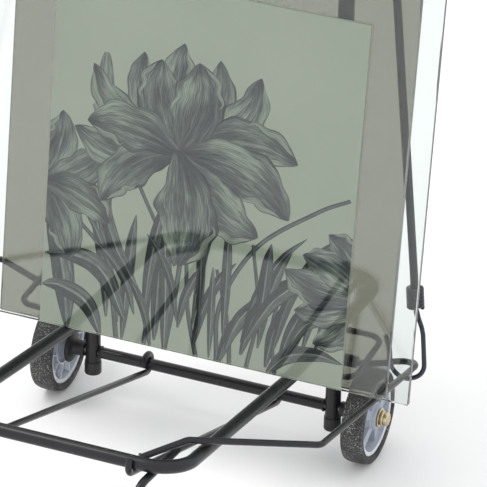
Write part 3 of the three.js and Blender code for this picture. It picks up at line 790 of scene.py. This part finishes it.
def make_wheel_fixings():
    inner = WHEEL_X - WHEEL_WIDTH / 2
    outer = WHEEL_X + WHEEL_WIDTH / 2
    for side, sign in SIDES:
        place = axle_place(sign)
        disc = inner - 0.6
        profile = rounded([(4.3, SLEEVE_START), (7.5, SLEEVE_START), (8.5, disc - 5.5), (15.5, disc - 3.2),
                           (17, disc - 2.0), (17, disc), (4.3, disc)], 3, 0.8)
        turned_piece(f"{side}_wheel_flange", profile, place, 64, BLACK_PLASTIC)
        start = outer + 0.6
        profile = rounded([(4.3, start), (10, start), (10, start + 1.6), (4.3, start + 1.6)], 3, 0.5)
        turned_piece(f"{side}_washer", profile, place, 56, BRASS)
        nut = start + 1.9
        cap = [(0, nut), (7.5, nut), (7.8, nut + 0.4), (7.8, nut + 2.0), (7.4, nut + 2.5), (6.9, nut + 2.9),
               (6.9, nut + 6.2), (6.6, nut + 7.0), (5.8, nut + 7.6), (4, nut + 7.9), (0, nut + 8)]
        turned_piece(f"{side}_domed_nut", cap, place, 56, BRASS)


# ---- the leaning sheets --------------------------------------------------------------------------
STACK_FRONT_Y = -98.6
STACK_X = 15.4


def resting_height(front):
    sine, cosine, slope = math.sin(STACK_LEAN), math.cos(STACK_LEAN), math.tan(ARM_PITCH)
    edge_y = STACK_FRONT_Y + front * cosine
    edge_z = arm_top(STACK_FRONT_Y) - front * sine
    return (arm_top(edge_y) + 0.3 - edge_z) / (cosine + sine * slope)


def stack_place(front, rise):
    base = Vector((STACK_X, STACK_FRONT_Y, arm_top(STACK_FRONT_Y)))
    lean = Matrix.Rotation(-STACK_LEAN, 4, "X")
    return Matrix.Translation(base) @ lean @ Matrix.Translation((0, front, rise))


PRINT_WIDTH, PRINT_HEIGHT, PRINT_THICKNESS = 324, 375, 3
PRINT_FRONT = 6.3


def make_sheets():
    sheets = (
        ("clear_pane", 466, 640, 6, 0, CLEAR_GLASS, 1.5),
        ("print_panel", PRINT_WIDTH, PRINT_HEIGHT, PRINT_THICKNESS, PRINT_FRONT, PRINT_GROUND, 0.8),
        ("tinted_pane", 415, 630, 6, 9.6, TINTED_GLASS, 1.5),
    )
    for name, width, height, thickness, front, material, edge in sheets:
        place = stack_place(front + thickness / 2, resting_height(front))
        points, faces = slab(width, thickness, height, place, edge)
        make_piece(name, points, faces, material, "root", [name])


# ---- the flower drawing on the printed panel -----------------------------------------------------
LAYER_STEP = 0.0026
LAYER_THICKNESS = 0.0022


def curve_through(knots, steps):
    """A smooth line through the knots."""
    points = [Vector(k) for k in knots]
    padded = [points[0] * 2 - points[1], *points, points[-1] * 2 - points[-2]]
    line = []
    for a, b, c, d in zip(padded, padded[1:], padded[2:], padded[3:]):
        for k in range(steps):
            t = k / steps
            line.append(0.5 * (2 * b + (c - a) * t + (2 * a - 5 * b + 4 * c - d) * t ** 2
                               + (3 * b - a - 3 * c + d) * t ** 3))
    line.append(points[-1])
    return line


class Drawing:
    """Flat shapes laid over each other and cut off at the panel's edges.
    Each is a thin closed leaf in a layer of its own."""

    def __init__(self):
        self.mesh = bmesh.new()
        self.uv = self.mesh.loops.layers.uv.new("UVMap")
        self.tone = self.mesh.loops.layers.float_color.new("Tone")
        self.layer = 0
        self.rng = random.Random(11)

    def strip(self, line, half_width, tone, across=8, wave=0.0, scale=30.0):
        """A band along a line. half_width is a function of the share along it, and tone of the share along
        and the share across."""
        front = PRINT_FRONT - 0.02 - self.layer * LAYER_STEP
        self.layer += 1
        phase = self.rng.random() * 6.28
        grids = []
        for depth in (front, front + LAYER_THICKNESS):
            grid = []
            for i, here in enumerate(line):
                t = i / (len(line) - 1)
                tangent = (line[min(i + 1, len(line) - 1)] - line[max(i - 1, 0)]).normalized()
                side = Vector((-tangent.y, tangent.x))
                row = []
                for j in range(across + 1):
                    v = j / across * 2 - 1
                    ripple = 1 + wave * math.sin(t * 17 + phase + v * 2) * abs(v) ** 3
                    spot = here + side * (half_width(t) * v * ripple)
                    vert = self.mesh.verts.new((spot.x, depth, spot.y))
                    row.append((vert, t, v))
                grid.append(row)
            grids.append(grid)
        offset = self.rng.random() * 40
        reach = sum((b - a).length for a, b in zip(line, line[1:]))

        def face(corners):
            made = self.mesh.faces.new([c[0] for c in corners])
            for loop, (_, t, v) in zip(made.loops, corners):
                loop[self.uv].uv = (t * reach / scale + offset, (v + 1) / 2 + offset)
                value = tone(t, v)
                loop[self.tone] = (value, value, value, 1)

        near, far = grids
        rows, columns = len(line), across + 1
        for i in range(rows - 1):
            for j in range(columns - 1):
                face([near[i][j], near[i + 1][j], near[i + 1][j + 1], near[i][j + 1]])
                face([far[i][j], far[i][j + 1], far[i + 1][j + 1], far[i + 1][j]])
            for j in (0, columns - 1):
                face([near[i][j], far[i][j], far[i + 1][j], near[i + 1][j]])
        for i in (0, rows - 1):
            for j in range(columns - 1):
                face([near[i][j], near[i][j + 1], far[i][j + 1], far[i][j]])

    def petal(self, base, angle, length, width, bend=0.0, shade=0.0, curl=0.5):
        """A petal: narrow at its base, full at its middle, with a ruffled edge and a tapering tip."""
        turn = math.radians(angle)
        ahead = Vector((math.cos(turn), math.sin(turn)))
        side = Vector((-ahead.y, ahead.x))
        start = Vector(base)
        knots = [start, start + ahead * length * 0.35 + side * bend * length * 0.10,
                 start + ahead * length * 0.72 + side * bend * length * 0.03,
                 start + ahead * length - side * bend * length * 0.20]
        line = curve_through(knots, 12)
        ruffle = self.rng.random() * 6

        def half_width(t):
            swell = 0.18 + 0.82 * math.sin(math.pi / 2 * min(1, t / 0.50)) ** 1.2
            blunt = max(0, 1 - max(0, (t - 0.46) / 0.54) ** 1.9) ** 0.80
            ragged = 1 + 0.05 * math.sin(t * 23 + ruffle) * t + 0.04 * math.sin(t * 47 + ruffle) * t
            return width * max(0.02, swell * blunt * ragged)

        def tone(t, v):
            throat = max(0, 1 - t / 0.34) * 0.42
            midrib = -0.34 * math.exp(-((v - 0.03) / 0.05) ** 2) * min(1, t * 4) * (1.1 - t)
            beside = 0.20 * math.exp(-((abs(v) - 0.16) / 0.10) ** 2) * (1 - t * 0.5)
            edge = 0.40 * max(0, abs(v) - 0.90) / 0.10
            roll = 0.17 * shade * v
            tip = 0.34 * max(0, t - 0.82) / 0.18
            swirl = 0.12 * math.sin(t * 9 + ruffle + v * 2.2)
            return min(1, max(0, 0.36 + throat + midrib + beside + edge + roll + tip + swirl))

        self.strip(line, half_width, tone, 18, 0.10, 34)
        if curl:
            self.turned_edge(line, half_width, curl, length)

    def turned_edge(self, line, half_width, side, length):
        """The pale underside of a petal's edge, folded over near the tip."""
        start, end = int(len(line) * 0.55), int(len(line) * 0.96)
        part = line[start:end]
        edge = []
        for i, here in enumerate(part):
            whole = (i + start) / (len(line) - 1)
            tangent = (line[min(i + start + 1, len(line) - 1)] - line[i + start - 1]).normalized()
            out = Vector((-tangent.y, tangent.x)) * math.copysign(1, side)
            edge.append(here + out * half_width(whole) * (0.86 + 0.10 * math.sin(i * 0.9)))
        wide = abs(side) * length * 0.055

        def roll_width(t):
            return max(0.15, wide * math.sin(math.pi * t))

        def tone(t, v):
            return 0.10 + 0.55 * max(0, abs(v) - 0.72) / 0.28 + 0.12 * (v > 0)

        self.strip(edge, roll_width, tone, 6, 0.05)

    def leaf(self, knots, width, dark=0.45):
        line = curve_through(knots, 10)

        def half_width(t):
            return width * max(0.03, math.sin(math.pi * (t * 0.96 + 0.03)) ** 0.8 * (1 - 0.35 * t))

        def tone(t, v):
            midrib = -0.35 * math.exp(-(v / 0.09) ** 2)
            fold = 0.22 if v > 0 else -0.06
            edge = 0.3 * max(0, abs(v) - 0.84) / 0.16
            return min(1, max(0, dark + midrib + fold + edge))

        self.strip(line, half_width, tone, 10, 0.03)

    def stem(self, knots, width):
        line = curve_through(knots, 10)
        self.strip(line, lambda t: width * (1 - 0.25 * t),
                   lambda t, v: min(1, 0.42 + 0.5 * v * v + 0.15 * v), 6)

    def bud(self, base, angle, length, width):
        turn = math.radians(angle)
        ahead = Vector((math.cos(turn), math.sin(turn)))
        side = Vector((-ahead.y, ahead.x))
        line = curve_through([Vector(base) + ahead * length * k + side * math.sin(k * math.pi) * length * 0.04
                              for k in (0, 0.33, 0.66, 1)], 10)

        def half_width(t):
            return width * max(0.05, math.sin(math.pi * (0.10 + 0.86 * t)) ** 0.65 * (0.66 + 0.34 * t))

        def tone(t, v):
            ridge = 0.34 * math.exp(-((v + 0.28) / 0.10) ** 2) + 0.26 * math.exp(-((v - 0.42) / 0.08) ** 2)
            return min(1, 0.16 + ridge + 0.42 * max(0, abs(v) - 0.75) / 0.25 + 0.3 * max(0, 0.2 - t) / 0.2)

        self.strip(line, half_width, tone, 12)

    def bloom(self, centre, size, petals):
        """An open lily. Each petal is an angle in degrees, its reach and width as shares, and its bend."""
        for k, (angle, reach, wide, bend) in enumerate(petals):
            turned = 1 if k % 2 else -1
            self.petal(centre, angle, size * reach, size * 0.26 * wide, bend, turned, 0.7 * turned)
        throat = [Vector(centre) + Vector((x * size * 0.06, abs(x) * size * 0.03)) for x in (-1, 0, 1)]
        middle_line = curve_through(throat, 8)
        self.strip(middle_line, lambda t: max(0.2, size * 0.03 * math.sin(math.pi * t) ** 0.5),
                   lambda t, v: 0.95 - 0.3 * abs(v), 8)

    def finish(self):
        margin = 0.6
        half = PRINT_WIDTH / 2 - margin
        cuts = (((half, 0, 0), (1, 0, 0)), ((-half, 0, 0), (-1, 0, 0)),
                ((0, 0, margin), (0, 0, -1)), ((0, 0, PRINT_HEIGHT - margin), (0, 0, 1)))
        for place, outward in cuts:
            geometry = [*self.mesh.verts, *self.mesh.edges, *self.mesh.faces]
            bmesh.ops.bisect_plane(self.mesh, geom=geometry, plane_co=place, plane_no=outward,
                                   clear_outer=True)
            open_edges = [e for e in self.mesh.edges if len(e.link_faces) == 1]
            bmesh.ops.holes_fill(self.mesh, edges=open_edges, sides=0)
        bmesh.ops.recalc_face_normals(self.mesh, faces=self.mesh.faces)
        to_row = Matrix.Scale(MM, 4) @ Matrix.Translation(AXLE) @ stack_place(0, resting_height(PRINT_FRONT))
        self.mesh.transform(to_row)
        mesh = bpy.data.meshes.new("lily_drawing")
        self.mesh.to_mesh(mesh)
        self.mesh.free()
        piece = bpy.data.objects.new("lily_drawing", mesh)
        bpy.context.scene.collection.objects.link(piece)
        mesh.materials.append(INK)
        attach(piece, "root")


FULL_BLOOM = (
    (124, 0.92, 0.62, 0.9), (62, 0.96, 0.66, -0.7), (94, 1.00, 0.62, 0.3), (150, 1.06, 0.60, 0.7),
    (40, 1.08, 0.72, -0.8), (110, 0.84, 0.86, 0.5), (186, 0.98, 0.72, 0.8), (14, 1.10, 0.84, 0.7),
    (76, 0.86, 0.96, -0.4), (212, 0.92, 0.76, -0.7), (348, 1.12, 0.92, 0.8), (166, 0.88, 0.84, -0.5),
    (316, 1.00, 0.92, -0.5), (278, 1.04, 1.12, 0.4),
)
HALF_BLOOM = (
    (104, 0.90, 0.80, 0.6), (70, 0.94, 0.82, -0.5), (30, 1.00, 0.84, -0.6), (250, 0.90, 0.90, -0.5),
    (300, 1.00, 0.95, 0.5), (344, 0.96, 0.86, 0.6),
)
SIDE_BLOOM = (
    (118, 0.92, 0.86, -0.6), (236, 0.95, 0.90, 0.6), (206, 0.96, 0.78, 0.5), (176, 1.08, 0.95, 0.5),
    (148, 0.94, 0.84, -0.5),
)


def make_drawing():
    art = Drawing()
    stems = (
        ([(-26, 0), (-18, 60), (-14, 120), (-16, 190)], 3.0),
        ([(30, 0), (30, 60), (64, 128), (122, 176), (156, 196)], 2.6),
        ([(-78, 0), (-86, 46), (-100, 90), (-128, 118)], 2.8),
        ([(-20, 90), (-60, 160), (-88, 214), (-98, 236)], 2.2),
        ([(8, 0), (-4, 50), (-10, 120)], 2.6),
        ([(44, 0), (40, 40), (24, 96)], 2.4),
        ([(62, 0), (70, 60), (60, 130)], 2.3),
        ([(-48, 0), (-44, 60), (-30, 120)], 2.4),
        ([(92, 0), (86, 50), (96, 96)], 2.2),
    )
    for knots, width in stems:
        art.stem(knots, width)
    rng = random.Random(5)
    for k in range(30):
        foot = -92 + 8.4 * k * 0.9 + rng.uniform(-6, 6)
        lean = (foot + 10) * 0.35 + rng.uniform(-34, 34)
        height = rng.uniform(64, 148)
        start = rng.uniform(0, 40)
        knots = [(foot, start - 6), (foot + lean * 0.25, start + height * 0.4),
                 (foot + lean * 0.7, start + height * 0.78), (foot + lean * 1.15, start + height)]
        art.leaf(knots, rng.uniform(4.5, 8.5), rng.uniform(0.46, 0.66))
    broad_leaves = (
        ([(-132, 0), (-138, 52), (-150, 110), (-158, 166)], 15),
        ([(-70, 20), (-96, 66), (-126, 78), (-160, 74)], 13),
        ([(60, 30), (84, 74), (112, 104), (124, 132)], 9),
        ([(-96, 0), (-112, 30), (-142, 42), (-162, 40)], 12),
        ([(84, 0), (104, 22), (134, 30), (162, 26)], 10),
        ([(-60, 60), (-84, 96), (-96, 130), (-92, 160)], 9),
        ([(100, 20), (118, 56), (136, 66), (158, 62)], 8),
    )
    for knots, width in broad_leaves:
        art.leaf(knots, width, 0.5)
    art.bud((-98, 234), 97, 62, 9.5)
    art.bud((-62, 196), 140, 70, 11)
    art.bloom((-168, 150), 84, HALF_BLOOM)
    art.bloom((178, 98), 78, SIDE_BLOOM)
    art.bloom((-24, 208), 112, FULL_BLOOM)
    art.finish()


# ---- hooks and elastic cord ----------------------------------------------------------------------
CORD_OVER_TOP = (
    (150.6, 50, 762), (149.6, 51, 782), (144.5, 53, 795), (133, 56.6, 797), (112, 56.2, 797),
    (-112, 56.2, 797), (-133, 56.6, 797), (-144.5, 52, 797), (-150, 40, 790), (-149, 29.5, 761),
    (-146, 21, 741), (-143, 10.5, 731),
)
COIL_OFFSET = 11.2
COIL_BOTTOM = 71.2
COIL_LENGTH = 27
CORD_START = 84.5


def hook_place(side, sign, y, target):
    """The hook's own frame: Z is the way the cord pulls, X points outward, and the origin is on the wire."""
    rear, front = (Vector(p) for p in WING_RUN[side])
    seat = rear.lerp(front, (y - rear.y) / (front.y - rear.y))
    pull = (Vector(target) - seat).normalized()
    outward = Vector((sign, 0, 0))
    outward = (outward - pull * outward.dot(pull)).normalized()
    across = pull.cross(outward)
    turn = Matrix((outward, across, pull)).transposed().to_4x4()
    return Matrix.Translation(seat) @ turn


def make_hook(side, place):
    bottom = -(WIRE_RADIUS + HOOK_WIRE_RADIUS + 0.4)
    tip = bottom + HOOK_BEND + 28
    turned = [(-HOOK_BEND - 3, tip), (-HOOK_BEND - 1.6, tip - 5), (-HOOK_BEND, tip - 14)]
    bowl = []
    for k in range(25):
        angle = math.pi + math.pi * k / 24
        bowl.append((HOOK_BEND * math.cos(angle), bottom + HOOK_BEND + HOOK_BEND * math.sin(angle)))
    shank = [(HOOK_BEND, 30), (HOOK_BEND, 44), (HOOK_BEND - 1.2, 52), (HOOK_BEND - 4.2, 62),
             (COIL_OFFSET + 0.6, 70)]
    flat = [Vector((x, 0, z)) for x, z in turned + bowl + shank]
    path = []
    for k, point in enumerate(flat):
        ahead = flat[min(k + 1, len(flat) - 1)] - flat[max(k - 1, 0)]
        path.append((place @ point, (place.to_3x3() @ ahead).normalized()))
    points, faces, _ = sweep(path, HOOK_WIRE_RADIUS, 20, 1.0)
    make_piece(f"{side}_hook", points, faces, HOOK_STEEL, "root", [f"{side}_hook"])

    turns, per_turn = 6, 28
    wire = COIL_LENGTH / turns / 2 * 0.96
    reach = CORD_RADIUS + wire + 0.3
    coil = []
    for k in range(turns * per_turn + 1):
        angle = 2 * math.pi * k / per_turn
        rise = COIL_BOTTOM + wire + (COIL_LENGTH - 2 * wire) * k / (turns * per_turn)
        here = Vector((COIL_OFFSET + reach * math.cos(angle), reach * math.sin(angle), rise))
        heading = Vector((-math.sin(angle), math.cos(angle), (COIL_LENGTH / turns) / (2 * math.pi * reach)))
        coil.append((place @ here, (place.to_3x3() @ heading).normalized()))
    points, faces, _ = sweep(coil, wire, 14, 0.6)
    make_piece(f"{side}_hook_coil", points, faces, HOOK_STEEL, "root", [f"{side}_hook_coil"])


def make_cord():
    right = hook_place("right", 1, -11, CORD_OVER_TOP[0])
    left = hook_place("left", -1, -154, CORD_OVER_TOP[-1])
    make_hook("right", right)
    make_hook("left", left)

    def coil_point(place, height):
        return place @ Vector((COIL_OFFSET, 0, height))

    top = COIL_BOTTOM + COIL_LENGTH + 12
    corners = [coil_point(right, CORD_START), coil_point(right, top), *CORD_OVER_TOP,
               coil_point(left, top), coil_point(left, CORD_START)]
    path = spread_out(bend_stations(corners, 9, 8), 12)
    points, faces, uvs = sweep(path, CORD_RADIUS, 28, 1.0)
    make_piece("elastic_cord", points, faces, BRAID, "root", ["elastic_cord"], uvs=uvs)


# ---- handle --------------------------------------------------------------------------------------
HANDLE_AT = 937
HANDLE_TUBE_RADIUS = 6.4
HANDLE_TUBE_BOTTOM = 480
HANDLE_RADIUS = 15
HANDLE_END = 152
SEAT_START, SEAT_END = 22, 107.7
SEAT_RADIUS = 11
BUTTON = (25.2, 11.2, 10.4)
POCKET_FLOOR = 3
BUTTON_TRAVEL = 4


def raw_object(points, faces):
    mesh = bpy.data.meshes.new("raw")
    mesh.from_pydata([Vector(p) for p in points], [], faces)
    face_outward(mesh)
    made = bpy.data.objects.new("raw", mesh)
    bpy.context.scene.collection.objects.link(made)
    return made


def carved(shape, cutters):
    """The first shape with the others taken out of it."""
    body = raw_object(*shape)
    tools = [raw_object(*cutter) for cutter in cutters]
    for tool in tools:
        cut = body.modifiers.new("cut", "BOOLEAN")
        cut.operation = "DIFFERENCE"
        cut.solver = "EXACT"
        cut.object = tool
    graph = bpy.context.evaluated_depsgraph_get()
    result = body.evaluated_get(graph).to_mesh()
    points = [v.co.copy() for v in result.vertices]
    faces = [tuple(p.vertices) for p in result.polygons]
    for made in (body, *tools):
        bpy.data.objects.remove(made)
    return points, faces


def rounded_block(width, depth, height, place, corner, soft=0.8):
    """An upright block with rounded corners and a softly domed top."""
    outline = []
    for cx, cy, start in ((1, 1, 0), (-1, 1, 90), (-1, -1, 180), (1, -1, 270)):
        for k in range(7):
            angle = math.radians(start + 15 * k)
            outline.append((cx * (width / 2 - corner) + corner * math.cos(angle),
                            cy * (depth / 2 - corner) + corner * math.sin(angle)))
    levels = [(0, 0), (height - soft, 0), (height - soft * 0.35, soft * 0.3), (height, soft)]
    points = []
    for z, inset in levels:
        for x, y in outline:
            points.append(place @ Vector((x * (1 - 2 * inset / width), y * (1 - 2 * inset / depth), z)))
    return points, ring_faces(len(levels), len(outline))


def make_handle():
    for side, sign in SIDES:
        place = upright_place(sign * UPRIGHT_X, 0)
        outer, inner = HANDLE_TUBE_RADIUS, HANDLE_TUBE_RADIUS - 1.2
        low, high = HANDLE_TUBE_BOTTOM, HANDLE_AT - 1
        profile = [(inner, low), (outer - 0.3, low), (outer, low + 0.4), (outer, high), (inner, high)]
        turned_piece(f"{side}_handle_tube", profile, place, 40, BRIGHT_STEEL, "handle")
    place = upright_place(0, HANDLE_AT)
    along = place @ Matrix.Rotation(math.pi / 2, 4, "Y")
    r, end = HANDLE_RADIUS, HANDLE_END
    half = [(r, SEAT_START - 0.6), (r - 0.6, SEAT_START), (SEAT_RADIUS, SEAT_START), (SEAT_RADIUS, SEAT_END),
            (r - 0.5, SEAT_END), (r, SEAT_END + 0.5), (r, SEAT_END + 3), (r - 0.6, SEAT_END + 3.6),
            (r, SEAT_END + 4.2), (r, end - 4)]
    half += [(r - 4 + 4 * math.cos(t), end - 4 + 4 * math.sin(t))
             for t in [k * math.pi / 12 for k in range(1, 7)]]
    profile = [(0, -end)] + [(p, -h) for p, h in reversed(half)] + half + [(0, end)]
    bar = lathe(profile, along, 64)
    sockets = []
    for _, sign in SIDES:
        socket_place = place @ Matrix.Translation((sign * UPRIGHT_X, 0, -30))
        radius = HANDLE_TUBE_RADIUS + 0.3
        sockets.append(lathe([(0, 0), (radius, 0), (radius, 30), (0, 30)], socket_place, 40))
    pocket_place = place @ Matrix.Translation((0, 0, POCKET_FLOOR))
    pocket = rounded_block(BUTTON[0] + 0.8, BUTTON[1] + 0.8, 20, pocket_place, 3.3, 0.1)
    points, faces = carved(bar, [*sockets, pocket])
    make_piece("handle_housing", points, faces, BLACK_PLASTIC, "handle", ["handle_housing"], sharp=30)

    for side, sign in SIDES:
        start, stop = SEAT_START + 0.3, SEAT_END - 0.3
        top, low = HANDLE_RADIUS + 0.5, SEAT_RADIUS + 0.3
        outline = [(low, start), (top - 1, start), (top, start + 1)]
        count = 19
        for k in range(count):
            at = start + 4 + (stop - start - 8) * k / (count - 1)
            outline += [(top, at - 1.1), (top - 0.7, at - 0.6), (top - 0.7, at + 0.6), (top, at + 1.1)]
        outline += [(top, stop - 1), (top - 1, stop), (low, stop)]
        outward = place @ Matrix.Rotation(sign * math.pi / 2, 4, "Y")
        turned_piece(f"{side}_grip", outline, outward, 56, GRIP_RUBBER, "handle")

    lift = POCKET_FLOOR + BUTTON_TRAVEL + 0.6
    points, faces = rounded_block(*BUTTON, place @ Matrix.Translation((0, 0, lift)), 3, 1.2)
    make_piece("release_button", points, faces, BUTTON_PLASTIC, "button", ["release_button"])


# ---- studio --------------------------------------------------------------------------------------
VIEW_AZIMUTH = math.radians(22.8)
VIEW_ELEVATION = math.radians(31.6)
VIEW_DISTANCE = 4.0
AIM_RIGHT, AIM_UP = 32.4, 137.4
LENS = 290
SKY_STRENGTH = 1.22
KEY_POWER = 45


def make_camera():
    a, e = VIEW_AZIMUTH, VIEW_ELEVATION
    right = Vector((math.cos(a), math.sin(a), 0))
    up = Vector((-math.sin(a) * math.sin(e), math.cos(a) * math.sin(e), math.cos(e)))
    back = Vector((math.sin(a) * math.cos(e), -math.cos(a) * math.cos(e), math.sin(e)))
    aim = (AXLE + right * AIM_RIGHT + up * AIM_UP) * MM
    data = bpy.data.cameras.new("camera")
    data.lens = LENS
    data.sensor_width = 36
    data.clip_end = 60
    camera = bpy.data.objects.new("camera", data)
    camera.location = aim + back * VIEW_DISTANCE
    camera.rotation_mode = "QUATERNION"
    camera.rotation_quaternion = (-back).to_track_quat("-Z", "Y")
    bpy.context.scene.collection.objects.link(camera)
    bpy.context.scene.camera = camera


def add_light(name, place, target, size, power, color):
    data = bpy.data.lights.new(name, "AREA")
    data.shape = "DISK"
    data.size = size
    data.energy = power
    data.color = color
    light = bpy.data.objects.new(name, data)
    light.location = place
    light.rotation_mode = "QUATERNION"
    light.rotation_quaternion = (Vector(target) - Vector(place)).to_track_quat("-Z", "Y")
    bpy.context.scene.collection.objects.link(light)


def make_studio():
    floor_mesh = bpy.data.meshes.new("floor")
    reach = 14
    corners = [(-reach, -reach, 0), (reach, -reach, 0), (reach, reach, 0), (-reach, reach, 0)]
    floor_mesh.from_pydata(corners, [], [(0, 1, 2, 3)])
    finish = Finish("floor_paint", (0.9, 0.9, 0.89), 0.7)
    finish.color(finish.ramp(finish.noise(3, 2), [(0.3, (0.89, 0.885, 0.88)), (0.7, (0.92, 0.915, 0.91))]))
    floor_mesh.materials.append(finish.material)
    floor = bpy.data.objects.new("floor", floor_mesh)
    bpy.context.scene.collection.objects.link(floor)
    world = bpy.data.worlds.new("studio")
    world.use_nodes = True
    sky = world.node_tree.nodes["Background"]
    sky.inputs["Color"].default_value = (0.98, 0.99, 1.0, 1)
    sky.inputs["Strength"].default_value = SKY_STRENGTH
    bpy.context.scene.world = world
    add_light("key", (-1.8, -0.6, 3.2), (0, 0, 0.3), 1.6, KEY_POWER, (1.0, 0.99, 0.97))
    bpy.context.scene.view_settings.view_transform = "Standard"


make_camera()
make_uprights()
make_cross_tubes()
make_platform()
make_wings()
make_stays()
make_rear_loop()
make_stand()
make_wheels()
make_wheel_fixings()
make_sheets()
make_drawing()
make_cord()
make_handle()
make_studio()
